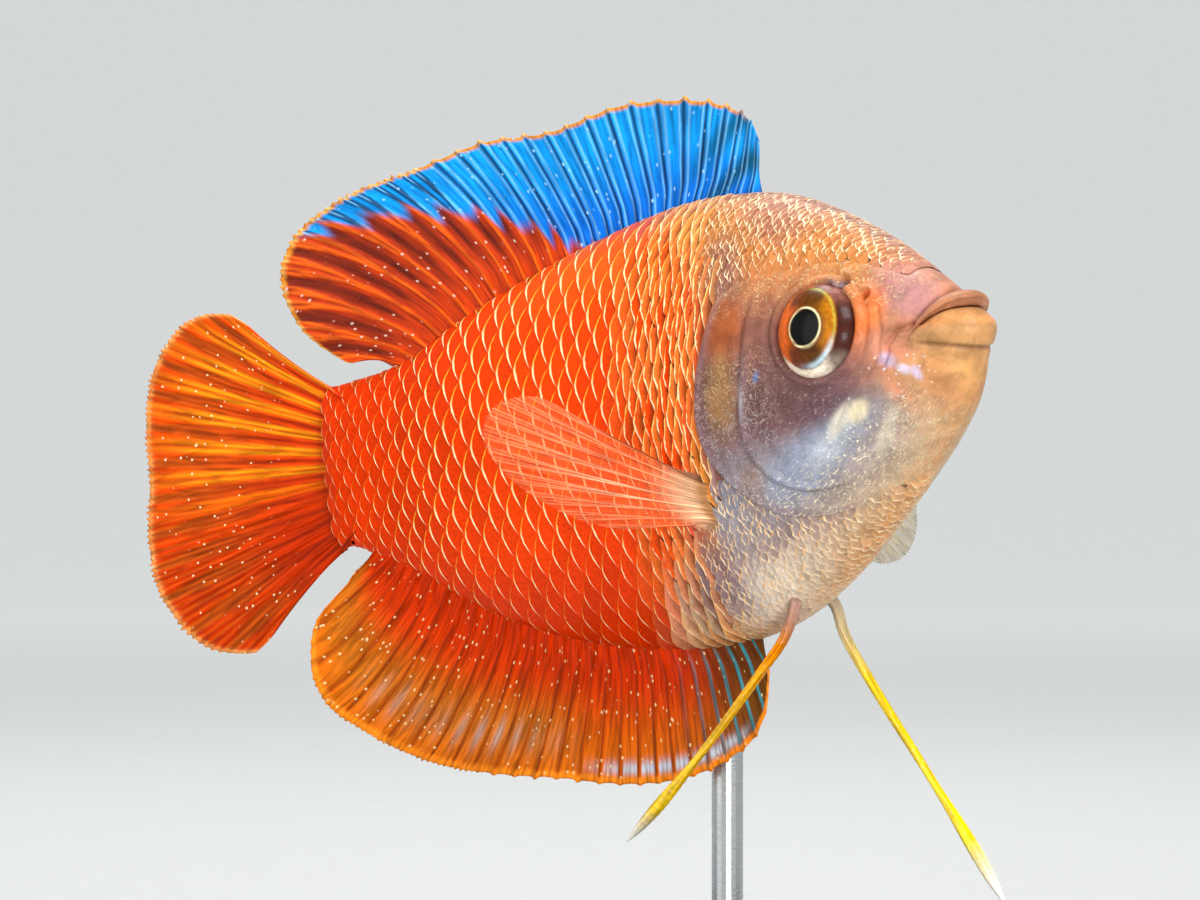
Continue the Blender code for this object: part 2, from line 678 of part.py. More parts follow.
def pectoral_fin(name, side, swing, drop, finish):
    """A side fin: a narrow fan from a short fleshy root, swung out from the flank."""
    out = math.radians(swing)
    back = np.array([math.cos(out), side * math.sin(out), 0.0])
    up = np.array([0.0, 0.0, 1.0])
    normal = np.cross(back, up)
    rays = np.arange(PECTORAL_RAYS)
    lengths = np.array(PECTORAL_LENGTHS)
    last = PECTORAL_RAYS - 1
    clear = GAP + PECTORAL_ROOT_HALF * math.cos(out)

    def root(k):
        share = k / last
        ends = []
        for t, z in PECTORAL_ROOT:
            ring, down = find_on_skin(t, z, side)
            ends.append(skin(ring, down) + outward(ring, down) * clear)
        return ends[0] + (ends[1] - ends[0]) * share[:, None]

    def tip(k):
        share = k / last
        lean = PECTORAL_SPREAD[0] + (PECTORAL_SPREAD[1] - PECTORAL_SPREAD[0]) * share - drop
        angle = np.radians(lean)
        reach = np.cos(angle)[:, None] * back + np.sin(angle)[:, None] * up
        return root(k) + reach * smooth(rays, lengths, k)[:, None]

    def bow(k):
        return np.outer(np.full(len(k), PECTORAL_CAMBER), normal * np.sign(normal[1]) * side)

    return fin(name, (0, PECTORAL_RAYS), False, root, tip, bow, normal, PECTORAL_ROOT_HALF,
               SOFT_FRINGE, 0.0, finish)


def belly_point(t, y):
    """Point of the underside at this t and y."""
    side = -1 if y < 0 else 1
    rings, degrees = np.meshgrid(np.linspace(4.0, 12.0, 321), np.linspace(120.0, 180.0, 241))
    points = skin(rings, degrees)
    miss = (points[..., 0] - t) ** 2 + (points[..., 1] + abs(y)) ** 2
    best = np.unravel_index(np.argmin(miss), miss.shape)
    down = degrees[best] if side < 0 else 360.0 - degrees[best]
    return skin(rings[best], down), outward(rings[best], down)


def pelvic_fin(name, side, run, finish):
    """A pelvic fin drawn out into one feeler, thick at its root and fine at its end."""
    start, normal = belly_point(PELVIC_ROOT[0], PELVIC_ROOT[1] * side)
    path = np.array([start + normal * (GAP + PELVIC_SINK), *run])
    along = np.concatenate([[0.0], np.cumsum(np.linalg.norm(np.diff(path, axis=0), axis=1))])
    at = np.linspace(0.0, along[-1], PELVIC_STEPS + 1)
    line = np.stack([smooth(along, path[:, i], at) for i in range(3)], axis=-1)
    heading = np.gradient(line, axis=0)
    heading /= np.linalg.norm(heading, axis=1, keepdims=True)
    across = np.cross(heading, LEFT)
    across /= np.linalg.norm(across, axis=1, keepdims=True)
    third = np.cross(heading, across)
    share = at / along[-1]
    radius = PELVIC_ROOT_RADIUS + (PELVIC_END_RADIUS - PELVIC_ROOT_RADIUS) * share ** 0.6
    points = []
    for i in range(PELVIC_STEPS + 1):
        for j in range(PELVIC_SIDES):
            turn = 2 * math.pi * j / PELVIC_SIDES
            ring_point = across[i] * math.cos(turn) + third[i] * math.sin(turn)
            points.append(line[i] + ring_point * radius[i])
    faces = sleeve_faces(PELVIC_STEPS + 1, PELVIC_SIDES)
    points.append(line[0])
    points.append(line[-1] + heading[-1] * PELVIC_END_RADIUS * 2.5)
    end_row = PELVIC_STEPS * PELVIC_SIDES
    for j in range(PELVIC_SIDES):
        k = (j + 1) % PELVIC_SIDES
        faces.append((k, j, len(points) - 2))
        faces.append((end_row + j, end_row + k, len(points) - 1))
    return add_object(name, place(points), faces, finish)


def head(finish, cover_finish, eye_finish):
    """The head up to the rear rim of the gill covers, with its covers and eyes bedded in."""
    lips = np.array(HEAD_LIP_RINGS)[:, None]
    shares = np.linspace(0.0, 1.0, HEAD_RINGS_BEHIND_LIPS + 1)[1:, None]

    def rings(degrees):
        front = np.broadcast_to(lips, (len(lips), len(degrees)))
        rear = lips[-1] + (rim_ring(degrees)[None, :] - lips[-1]) * shares
        return np.concatenate([front, rear])

    made = body_piece("head", rings, HEAD_AROUND, finish, relief=True, mouth=True,
                      cap_centres=(None, CUT_CENTRE))
    cutters = []
    for side, word in ((-1, "right"), (1, "left")):
        centre, frame = surface_frame(EYE_T, EYE_Z, side)
        centre = centre - frame[2] * EYE_SUNK
        blob("eye_" + word, centre, frame, (EYE_RADIUS, EYE_RADIUS, EYE_DEPTH), eye_finish,
             EYE_AROUND, EYE_RINGS)
        socket = (EYE_RADIUS + GAP, EYE_RADIUS + GAP, EYE_DEPTH + GAP)
        cutters.append(blob("socket_" + word, centre, frame, socket, finish, EYE_AROUND, EYE_RINGS))
        cover_plate("gill_cover_" + word, side, cover_finish)
        cutters.append(cover_plate("bed_" + word, side, cover_finish, grow=GAP))
        for number, (t, z, radius) in enumerate(NOSTRILS):
            spot, axes = surface_frame(t, z, side)
            size = (radius, radius * 0.8, radius * 1.6)
            cutters.append(blob("nostril_%s_%d" % (word, number), spot, axes, size, finish, 10, 6))
    cut(made, cutters)
    return made


def torso(finish):
    """The trunk, from the gill opening to the tail stalk."""
    shares = np.linspace(0.0, 1.0, TORSO_RINGS)[:, None]

    def rings(degrees):
        rim = rim_ring(degrees)
        front = rim + rings_for(HEAD_CUT, rim, degrees)
        return front[None, :] + (STALK_RING - front)[None, :] * shares

    front_centre = CUT_CENTRE + [HEAD_CUT + 0.1, 0.0, 0.0]
    back_centre = skin(STALK_RING, 90.0) * [1.0, 0.0, 1.0]
    return body_piece("torso", rings, TORSO_AROUND, finish, cap_centres=(front_centre, back_centre))


def tail_stalk(finish):
    """The short stalk that carries the tail fin."""
    start = STALK_RING + rings_for(STALK_CUT, STALK_RING, 90.0)
    rows = np.linspace(start, STATIONS[-1].ring, STALK_RINGS)[:, None]

    def rings(degrees):
        return np.broadcast_to(rows, (len(rows), len(degrees)))

    front_centre = skin(start, 90.0) * [1.0, 0.0, 1.0]
    back_centre = skin(STATIONS[-1].ring, 90.0) * [1.0, 0.0, 1.0]
    return body_piece("tail_stalk", rings, STALK_AROUND, finish,
                      cap_centres=(front_centre, back_centre))


def stand_base(finish):
    """A flat base plate with round corners and a softened edge."""
    work = bmesh.new()
    bmesh.ops.create_cube(work, size=1.0)
    size = (BASE_LENGTH * MM, BASE_WIDTH * MM, BASE_THICKNESS * MM)
    bmesh.ops.scale(work, vec=size, verts=work.verts)
    bmesh.ops.translate(work, vec=(0.0, 0.0, size[2] / 2), verts=work.verts)
    uprights = [e for e in work.edges if abs(e.verts[0].co.z - e.verts[1].co.z) > size[2] / 2]
    bmesh.ops.bevel(work, geom=uprights, offset=BASE_CORNER * MM, segments=7, profile=0.5,
                    affect="EDGES")
    mesh = bpy.data.meshes.new("stand_base")
    work.to_mesh(mesh)
    work.free()
    made = bpy.data.objects.new("stand_base", mesh)
    mesh.materials.append(finish)
    bpy.context.collection.objects.link(made)
    bevel = made.modifiers.new("edge", "BEVEL")
    bevel.width = BASE_BEVEL * MM
    bevel.segments = 2
    bevel.limit_method = "ANGLE"
    bevel.angle_limit = math.radians(60.0)
    return made


def stand_rod(finish):
    """An upright rod on a round foot. Its top is cut slantwise, to lie along the left flank."""
    touch, normal = belly_point(ROD_T, ROD_Y)
    top = place(touch + normal * GAP)
    out = place(touch + normal) - place(touch)
    out /= np.linalg.norm(out)
    foot = BASE_THICKNESS + GAP
    rows = [(ROD_FOOT_RADIUS, foot), (ROD_FOOT_RADIUS, foot + ROD_FOOT_HEIGHT * 0.7),
            (ROD_RADIUS * 1.6, foot + ROD_FOOT_HEIGHT), (ROD_RADIUS, foot + ROD_FOOT_HEIGHT * 1.6)]
    points = []
    for radius, height in rows + [(ROD_RADIUS, None)]:
        for j in range(ROD_SIDES):
            turn = 2 * math.pi * j / ROD_SIDES
            x = radius * math.cos(turn)
            y = radius * math.sin(turn)
            slant = top[2] - (x * out[0] + y * out[1]) / out[2]
            points.append((top[0] + x, top[1] + y, slant if height is None else height))
    faces = sleeve_faces(len(rows) + 1, ROD_SIDES)
    faces.append(tuple(range(ROD_SIDES)))
    faces.append(tuple(len(rows) * ROD_SIDES + j for j in reversed(range(ROD_SIDES))))
    return add_object("stand_rod", points, faces, finish)


def build():
    """Makes every piece of the model."""
    for old in list(bpy.data.objects):
        bpy.data.objects.remove(old, do_unlink=True)
    head(material("head_skin", TAN_ORANGE), material("cover_skin", SILVER_MAUVE, 0.3),
         material("eye", EYE_BROWN, 0.1))
    torso(material("flank_scales", ORANGE_RED))
    tail_stalk(material("stalk_scales", FLAME_RED))
    dorsal_fin(material("dorsal_web", AZURE))
    anal_fin(material("anal_web", FLAME_RED))
    tail_fin(material("tail_web", ORANGE_RED))
    pectoral_web = material("pectoral_web", CLEAR_SALMON)
    pectoral_fin("pectoral_fin_right", -1, RIGHT_SWING, 0.0, pectoral_web)
    pectoral_fin("pectoral_fin_left", 1, LEFT_SWING, LEFT_DROP, pectoral_web)
    feeler = material("pelvic_feeler", YELLOW_ORANGE)
    pelvic_fin("pelvic_fin_right", -1, RIGHT_PELVIC_RUN, feeler)
    pelvic_fin("pelvic_fin_left", 1, LEFT_PELVIC_RUN, feeler)
    stand_base(material("stand_lacquer", STAND_BLACK, 0.35))
    stand_rod(material("stand_steel", STEEL, 0.3, 1.0))


build()
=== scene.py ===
"""Dresses the solids of a life-size dwarf gourami model and sets it in a plain pale studio.

The fish is laid out straight in its own frame first: t runs back from the snout along the body's
axis, y to the fish's left and z up, all in millimetres. BodyForm bends that frame into the pose of
the solids and turns it to metres.
"""
import logging
import math
from collections.abc import Sequence
from dataclasses import dataclass, field
from enum import Enum

import bpy
import numpy as np
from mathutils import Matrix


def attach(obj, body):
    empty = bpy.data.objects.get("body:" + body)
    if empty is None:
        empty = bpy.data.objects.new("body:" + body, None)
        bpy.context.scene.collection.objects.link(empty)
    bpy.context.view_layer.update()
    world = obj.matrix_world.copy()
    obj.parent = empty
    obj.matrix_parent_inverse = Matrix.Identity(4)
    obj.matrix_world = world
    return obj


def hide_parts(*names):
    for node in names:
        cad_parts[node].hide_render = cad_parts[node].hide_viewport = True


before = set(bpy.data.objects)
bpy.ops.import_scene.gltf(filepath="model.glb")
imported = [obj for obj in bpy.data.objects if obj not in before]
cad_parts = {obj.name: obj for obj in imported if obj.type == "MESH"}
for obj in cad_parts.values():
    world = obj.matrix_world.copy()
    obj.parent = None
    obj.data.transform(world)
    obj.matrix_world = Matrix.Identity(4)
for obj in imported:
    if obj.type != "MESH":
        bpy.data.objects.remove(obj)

log = logging.getLogger("gourami")

MM = 0.001
SEED = 20260
Array = np.ndarray
Table = tuple[tuple[float, ...], ...]
Stops = tuple[tuple[float, str], ...]
Layers = dict[str, Array]
Tree, Node, Socket = bpy.types.NodeTree, bpy.types.Node, bpy.types.NodeSocket
Material, Piece = bpy.types.Material, bpy.types.Object
Value = Socket | float | tuple[float, ...]


class Side(Enum):
    """A side of the fish, as the sign of y there."""

    RIGHT = -1
    LEFT = 1


def linear(code: str) -> Array:
    """Turns an sRGB hex colour to linear light.

    Args:
        code: Six hex digits after a hash mark.

    Returns:
        Red, green and blue, 0 to 1.
    """
    srgb = np.array([int(code[i:i + 2], 16) for i in (1, 3, 5)]) / 255.0
    return np.where(srgb <= 0.04045, srgb / 12.92, ((srgb + 0.055) / 1.055) ** 2.4)


def rgba(code: str) -> tuple[float, ...]:
    """Linear red, green, blue and full alpha of a hex colour, for a socket."""
    return (*linear(code), 1.0)


def ease(at: Array, low: float, high: float) -> Array:
    """0 up to low, 1 from high on, and the cubic 3u^2 - 2u^3 between."""
    u = np.clip((np.asarray(at, float) - low) / (high - low), 0.0, 1.0)
    return u * u * (3 - 2 * u)


def bell(at: Array, centre: Array | float, width: Array | float) -> Array:
    """exp(-((at - centre) / width)^2)."""
    return np.exp(-(((at - centre) / width) ** 2))


def blend(first: Array, second: Array, share: Array | float) -> Array:
    """Colour first turned to second by a share for each point."""
    share = np.asarray(share, float)[..., None]
    return first + (second - first) * share


def layered(ground: Array, *layers: tuple[str, Array]) -> Array:
    """Ground colour with each hex colour laid over it in turn by its share for each point."""
    for code, share in layers:
        ground = blend(ground, linear(code), share)
    return ground


def all_over(code: str, points: Array) -> Array:
    """One colour, given for every point."""
    return linear(code) + 0 * points


def graded(stops: Stops, at: Array) -> Array:
    """Colour of each point between coloured stops, straight from one stop to the next."""
    places = [stop[0] for stop in stops]
    tones = np.array([linear(stop[1]) for stop in stops])
    return np.stack([np.interp(at, places, tones[:, i]) for i in range(3)], axis=-1)


def smooth(xs: Sequence[float], ys: Sequence[float], at: Array) -> Array:
    """Smooth curve through points: cubic pieces whose slopes at the points are the means of the
    slopes on both sides, each weighted by the other's step.

    Args:
        xs: Places of the points, rising.
        ys: Values there.
        at: Places asked for, held within the first and last.

    Returns:
        The values at those places.
    """
    xs, ys = np.asarray(xs, float), np.asarray(ys, float)
    step = np.diff(xs)
    rise = np.diff(ys) / step
    slope = np.empty_like(ys)
    slope[1:-1] = (rise[:-1] * step[1:] + rise[1:] * step[:-1]) / (step[:-1] + step[1:])
    slope[0], slope[-1] = rise[0], rise[-1]
    at = np.clip(np.asarray(at, float), xs[0], xs[-1])
    k = np.clip(np.searchsorted(xs, at, side="right") - 1, 0, len(step) - 1)
    u = (at - xs[k]) / step[k]
    start = ys[k] * (1 + 2 * u) * (1 - u) ** 2 + slope[k] * step[k] * u * (1 - u) ** 2
    end = ys[k + 1] * u * u * (3 - 2 * u) + slope[k + 1] * step[k] * u * u * (u - 1)
    return start + end


def unit(vectors: Array) -> Array:
    """Vectors made one long."""
    return vectors / np.maximum(np.linalg.norm(vectors, axis=-1, keepdims=True), 1e-12)


def grid_faces(rows: int, columns: int, wrap: bool = False) -> Array:
    """Four-sided faces of a grid of points, counted row by row.

    Args:
        rows: Rows of points.
        columns: Points in each row.
        wrap: Whether the last column joins the first.

    Returns:
        One row of four indices for each face.
    """
    across = np.arange(columns if wrap else columns - 1)
    after = (across + 1) % columns
    base = np.arange(rows - 1)[:, None] * columns
    return np.stack([base + across, base + after, base + columns + after, base + columns + across],
                    axis=-1).reshape(-1, 4)


def grid_border(rows: int, columns: int) -> Array:
    """Indices of a grid's outer points, once round."""
    order = np.arange(rows * columns).reshape(rows, columns)
    return np.concatenate([order[0, :-1], order[:-1, -1], order[-1, :0:-1], order[:0:-1, 0]])


def pole_fan(ring: Array, pole: int) -> Array:
    """Triangles from each step round a closed ring of points to one more point."""
    return np.stack([ring, np.roll(ring, -1), np.full(len(ring), pole)], axis=-1)


def capped_tube(rows: int, columns: int) -> list[Array]:
    """Faces of rings of points, closed at both ends by the two points counted after them."""
    first, count = np.arange(columns), rows * columns
    return [grid_faces(rows, columns, wrap=True), pole_fan(first, count)[:, ::-1],
            pole_fan(first + count - columns, count + 1)]


def line_distance(t: Array, z: Array, points: Table) -> Array:
    """Least distance in the t, z plane from each point to a line of straight pieces."""
    least = np.full(t.shape, np.inf)
    for (t0, z0), (t1, z1) in zip(points, points[1:]):
        along = np.clip(((t - t0) * (t1 - t0) + (z - z0) * (z1 - z0))
                        / ((t1 - t0) ** 2 + (z1 - z0) ** 2), 0.0, 1.0)
        least = np.minimum(least, np.hypot(t - t0 - along * (t1 - t0), z - z0 - along * (z1 - z0)))
    return least


def add_node(tree: Tree, kind: str, links: dict | None = None, **settings: str | bool) -> Node:
    """Adds one shader node.

    Args:
        tree: The tree that it goes into.
        kind: Blender's name for the node type.
        links: For each input, by name or number, a socket to link to it or a value.
        settings: The node's own properties.

    Returns:
        The new node.
    """
    node = tree.nodes.new(kind)
    for key, value in settings.items():
        setattr(node, key, value)
    for key, value in (links or {}).items():
        if isinstance(value, Socket):
            tree.links.new(value, node.inputs[key])
        else:
            node.inputs[key].default_value = value
    return node


def new_material(name: str) -> tuple[Material, Tree, Node]:
    """An empty material, its tree and its Principled shader."""
    made = bpy.data.materials.new(name)
    made.use_nodes = True
    return made, made.node_tree, made.node_tree.nodes["Principled BSDF"]


def object_spot(tree: Tree) -> Socket:
    """Socket of the place on the object, in metres."""
    return add_node(tree, "ShaderNodeTexCoord").outputs["Object"]


def map_spot(tree: Tree, name: str) -> Socket:
    """Socket of the place on one of the piece's UV maps."""
    return add_node(tree, "ShaderNodeUVMap", uv_map=name).outputs[0]


def stretched(tree: Tree, vector: Socket, scale: tuple[float, float, float],
              turn: float = 0.0) -> Socket:
    """Socket of a place that is scaled, then turned about z."""
    links = {"Vector": vector, "Scale": scale, "Rotation": (0.0, 0.0, turn)}
    return add_node(tree, "ShaderNodeMapping", links).outputs[0]


def mixed(tree: Tree, share: Value, first: Value, second: Value, mode: str = "MIX") -> Socket:
    """Colour socket of first mixed with second by share."""
    node = add_node(tree, "ShaderNodeMix", {0: share, 6: first, 7: second}, data_type="RGBA",
                    blend_type=mode, clamp_factor=True)
    return node.outputs[2]


def figured(tree: Tree, kind: str, first: Value, second: Value = 0.0) -> Socket:
    """Socket of a sum done on one or two numbers."""
    node = add_node(tree, "ShaderNodeMath", {0: first, 1: second}, operation=kind)
    return node.outputs[0]


def product(tree: Tree, first: Value, second: Value) -> Socket:
    """Socket of one number times another."""
    return figured(tree, "MULTIPLY", first, second)


def ranged(tree: Tree, value: Socket, low: float, high: float, to_low: float = 0.0,
           to_high: float = 1.0) -> Socket:
    """Socket of a number turned from one range to another by a smooth step."""
    node = add_node(tree, "ShaderNodeMapRange", {0: value, 1: low, 2: high, 3: to_low, 4: to_high},
                    interpolation_type="SMOOTHSTEP")
    return node.outputs[0]


def shaded(tree: Tree, colour: Socket, grey: Socket) -> Socket:
    """Socket of a colour made lighter or darker by a number."""
    tone = add_node(tree, "ShaderNodeCombineColor", {0: grey, 1: grey, 2: grey}).outputs[0]
    return mixed(tree, 1.0, colour, tone, "MULTIPLY")


def noise(tree: Tree, vector: Socket, scale: float, detail: float, **more: float) -> Socket:
    """Socket of a cloudy number, 0 to 1, whose clouds come 1 / scale apart."""
    links = {"Vector": vector, "Scale": scale, "Detail": detail}
    return add_node(tree, "ShaderNodeTexNoise", {**links, **more}).outputs[0]


def raise_relief(tree: Tree, shader: Node, height: Socket, strength: float, depth_mm: float) -> None:
    """Turns a height socket into the shader's normal, as deep as depth_mm."""
    bump = add_node(tree, "ShaderNodeBump", {"Strength": strength, "Distance": depth_mm * MM,
                                             "Height": height})
    tree.links.new(bump.outputs[0], shader.inputs["Normal"])


def set_sockets(node: Node, values: dict) -> None:
    """Sets a node's own sockets by name."""
    for key, value in values.items():
        node.inputs[key].default_value = value


def stored(tree: Tree, name: str, output: str = "Fac") -> Socket:
    """Socket that reads one of the piece's own attributes."""
    return add_node(tree, "ShaderNodeAttribute", attribute_name=name).outputs[output]


def per_metre(size_mm: float) -> float:
    """Texture scale that repeats a pattern once in size_mm on Object coordinates."""
    return 1.0 / (size_mm * MM)


def enclosed(points: Array, faces: Sequence[Array]) -> float:
    """Six times the volume inside closed faces: p0 . (p1 x p2) added up over their triangles."""
    total = 0.0
    for group in faces:
        for corner in range(1, group.shape[1] - 1):
            first, second, third = (points[group[:, i]] for i in (0, corner, corner + 1))
            total += float(np.einsum("ij,ij->", first, np.cross(second, third)))
    return total


def outer_normals(points: Array, faces: Sequence[Array]) -> Array:
    """Unit sum of the face normals (crossed diagonals) about each point, nought where none is."""
    total = np.zeros_like(points)
    for group in faces:
        at = points[group]
        normal = np.cross(at[:, 2] - at[:, 0], at[:, -1] - at[:, 1])
        for corner in range(group.shape[1]):
            np.add.at(total, group[:, corner], normal)
    return total / np.maximum(np.linalg.norm(total, axis=-1, keepdims=True), 1e-12)


def add_piece(name: str, points: Array, faces: Sequence[Array], finish: Material,
              numbers: Layers | None = None, colours: Layers | None = None,
              maps: Layers | None = None, replaces: Sequence[str] = (),
              hidden_first: bool = False) -> Piece:
    """Puts one computed surface into the scene and on the model's body.

    Faces that enclose a negative volume look inwards, and are turned round.

    Args:
        name: The piece's name.
        points: World points in millimetres, one row each.
        faces: Arrays of faces, each array with one number of corners.
        finish: Its material.
        numbers: Attributes of one number a point.
        colours: Attributes of one linear colour a point.
        maps: UV maps, given for each point.
        replaces: The solids that it stands for.
        hidden_first: Whether the first array of faces is an underside that is never seen. It is
            left out of the normals, so that the edge of the upper side isn't shaded as rounded.

    Returns:
        The new object.
    """
    if enclosed(points - points.mean(axis=0), faces) < 0.0:
        faces = [group[:, ::-1] for group in faces]
    mesh = bpy.data.meshes.new(name)
    corners = np.concatenate([f.ravel() for f in faces])
    sizes = np.concatenate([np.full(len(f), f.shape[1]) for f in faces])
    mesh.vertices.add(len(points))
    mesh.vertices.foreach_set("co", (points * MM).astype(np.float32).ravel())
    mesh.loops.add(len(corners))
    mesh.loops.foreach_set("vertex_index", corners.astype(np.int32))
    mesh.polygons.add(len(sizes))
    starts = np.concatenate([[0], np.cumsum(sizes)[:-1]])
    mesh.polygons.foreach_set("loop_start", starts.astype(np.int32))
    mesh.update(calc_edges=True)
    mesh.validate()
    for key, values in (numbers or {}).items():
        layer = mesh.attributes.new(key, "FLOAT", "POINT")
        layer.data.foreach_set("value", np.ravel(values).astype(np.float32))
    for key, values in (colours or {}).items():
        layer = mesh.attributes.new(key, "FLOAT_COLOR", "POINT")
        full = np.concatenate([values, np.ones((len(values), 1))], axis=1)
        layer.data.foreach_set("color", full.astype(np.float32).ravel())
    for key, values in (maps or {}).items():
        layer = mesh.uv_layers.new(name=key)
        layer.uv.foreach_set("vector", values[corners].astype(np.float32).ravel())
    mesh.shade_smooth()
    if hidden_first:
        mesh.normals_split_custom_set_from_vertices(outer_normals(points, faces[1:]))
    mesh.materials.append(finish)
    made = bpy.data.objects.new(name, mesh)
    bpy.context.collection.objects.link(made)
    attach(made, "root")
    if replaces:
        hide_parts(*replaces)
    log.info("%s: %d points, %d faces", name, len(points), len(sizes))
    return made


@dataclass
class BodyForm:
    """The bent body: cross-sections along the axis, and the axis itself.

    Each station has its ring number, the t and z of its top, the t, z and half width of its
    widest point, and the t and z of its bottom.
    """

    stations: Table = (
        (0.0, 1.0, 2.65, 3.2, 1.5, 2.0, 0.8, 2.3),
        (0.5, 0.3, 3.0, 2.9, 1.4, 2.4, -0.15, 1.5),
        (1.0, 0.8, 3.6, 3.4, 1.1, 2.7, 0.1, 0.4),
        (1.5, 1.5, 3.8, 4.0, 0.9, 2.7, 0.7, -0.2),
        (2.0, 2.3, 4.3, 4.7, 0.8, 3.0, 1.2, -1.4),
        (3.0, 4.6, 6.1, 6.2, 0.6, 3.7, 2.7, -3.6),
        (4.0, 7.6, 8.2, 8.5, 0.3, 4.4, 5.6, -6.2),
        (5.0, 11.2, 10.2, 11.5, 0.0, 5.0, 9.8, -9.3),
        (6.0, 15.0, 11.8, 15.0, -0.3, 5.5, 14.2, -12.2),
        (7.0, 19.0, 12.6, 19.0, -0.6, 5.7, 18.8, -14.2),
        (8.0, 24.0, 12.8, 24.0, -0.8, 5.6, 24.0, -15.0),
        (9.0, 30.0, 12.2, 30.0, -0.8, 5.1, 30.0, -14.8),
        (10.0, 37.0, 10.7, 37.0, -0.6, 4.2, 37.0, -13.6),
        (11.0, 44.0, 8.6, 44.0, -0.3, 3.0, 44.0, -11.2),
        (12.0, 50.0, 6.2, 50.0, 0.0, 2.0, 50.0, -7.9),
        (13.0, 55.0, 5.4, 55.0, 0.0, 1.4, 55.0, -5.5),
    )
    pinch_rings: tuple[float, ...] = (0.0, 1.0, 1.5, 3.0, 6.0, 8.0, 13.0)
    pinch_back: tuple[float, ...] = (0.75, 0.85, 0.9, 1.0, 1.05, 1.2, 1.25)
    pinch_belly: tuple[float, ...] = (0.75, 1.0, 1.0, 1.0, 1.1, 1.2, 1.25)
    rim_degrees: tuple[float, ...] = (0.0, 57.0, 85.0, 105.0, 125.0, 145.0, 165.0, 180.0)
    rim_rings: tuple[float, ...] = (6.15, 6.7, 7.1, 7.05, 6.25, 5.25, 4.35, 4.1)
    head_yaw: float = 8.0
    stalk_yaw: float = -6.0
    fin_yaw: float = -18.0
    body_bend: tuple[float, float] = (12.0, 50.0)
    fin_bend: tuple[float, float] = (48.0, 66.0)
    nose_up: float = 7.0
    carried_at: float = 27.0
    axis_height: float = 39.0
    eye_at: tuple[float, float] = (9.7, 2.75)
    eye_radius: float = 3.0
    axis: tuple[Array, Array, Array] = field(init=False)

    def __post_init__(self) -> None:
        """Walks back along the axis and adds up its small straight steps."""
        t = np.linspace(-10.0, 80.0, 901)
        yaw = self.yaw(t)
        middle = (yaw[1:] + yaw[:-1]) / 2
        x = np.concatenate([[0.0], np.cumsum(-np.cos(middle) * np.diff(t))])
        y = np.concatenate([[0.0], np.cumsum(np.sin(middle) * np.diff(t))])
        x_held, y_held = np.interp(self.carried_at, t, x), np.interp(self.carried_at, t, y)
        self.axis = (t, x - x_held, y - y_held)

    def yaw(self, t: Array) -> Array:
        """Turn of the axis at t, in radians."""
        body = self.head_yaw + (self.stalk_yaw - self.head_yaw) * ease(t, *self.body_bend)
        return np.radians(body + (self.fin_yaw - self.stalk_yaw) * ease(t, *self.fin_bend))

    def place(self, points: Array) -> Array:
        """Bends fish-frame points along the axis, tips them nose up and lifts them.

        Args:
            points: Rows of t, y, z in millimetres.

        Returns:
            World points in millimetres.
        """
        points = np.asarray(points, float)
        t, y, z = points[..., 0], points[..., 1], points[..., 2]
        yaw = self.yaw(t)
        flat_x = np.interp(t, self.axis[0], self.axis[1]) + y * np.sin(yaw)
        flat_y = np.interp(t, self.axis[0], self.axis[2]) + y * np.cos(yaw)
        tip = math.radians(self.nose_up)
        x = flat_x * math.cos(tip) - z * math.sin(tip)
        up = flat_x * math.sin(tip) + z * math.cos(tip)
        return np.stack([x, flat_y, up + self.axis_height], axis=-1)

    def skin(self, ring: Array, degrees: Array) -> Array:
        """Point of the surface: between side and top or bottom the share |cos|^pinch.

        Args:
            ring: Place along the stations.
            degrees: 0 at the back, 90 on the right side, 180 at the belly, 270 on the left.

        Returns:
            Rows of t, y, z in millimetres.
        """
        ring, angle = np.broadcast_arrays(np.asarray(ring, float), np.radians(degrees))
        columns = np.array(self.stations).T
        top_t, top_z, side_t, side_z, width, low_t, low_z = (
            smooth(columns[0], column, ring) for column in columns[1:])
        high = np.cos(angle) >= 0
        pinch = np.where(high, np.interp(ring, self.pinch_rings, self.pinch_back),
                         np.interp(ring, self.pinch_rings, self.pinch_belly))
        share = np.abs(np.cos(angle)) ** pinch
        t = side_t + (np.where(high, top_t, low_t) - side_t) * share
        z = side_z + (np.where(high, top_z, low_z) - side_z) * share
        return np.stack([t, -width * np.sin(angle), z], axis=-1)

    def outward(self, ring: Array, degrees: Array) -> Array:
        """Unit normal out of the flesh, across two short steps on the surface."""
        ring, degrees = np.broadcast_arrays(np.asarray(ring, float), np.asarray(degrees, float))
        along = self.skin(ring + 0.02, degrees) - self.skin(ring - 0.02, degrees)
        around = self.skin(ring, degrees + 0.5) - self.skin(ring, degrees - 0.5)
        normal = unit(np.cross(along, around))
        turn = np.radians(degrees)
        flank = np.stack([0 * ring, -np.sin(turn), np.cos(turn)], axis=-1)
        return normal * np.sign(np.sum(normal * flank, axis=-1, keepdims=True))

    def rim(self, degrees: Array) -> Array:
        """Ring of the gill covers' rear rim."""
        return smooth(self.rim_degrees, self.rim_rings, folded(degrees))

    def find(self, t: float, z: float) -> tuple[float, float]:
        """Ring and degrees of the right flank's point that has this t and z."""
        rings, degrees = np.meshgrid(np.linspace(1.0, 13.0, 481), np.linspace(1.0, 179.0, 357))
        points = self.skin(rings, degrees)
        miss = (points[..., 0] - t) ** 2 + (points[..., 2] - z) ** 2
        best = np.unravel_index(np.argmin(miss), miss.shape)
        return float(rings[best]), float(degrees[best])

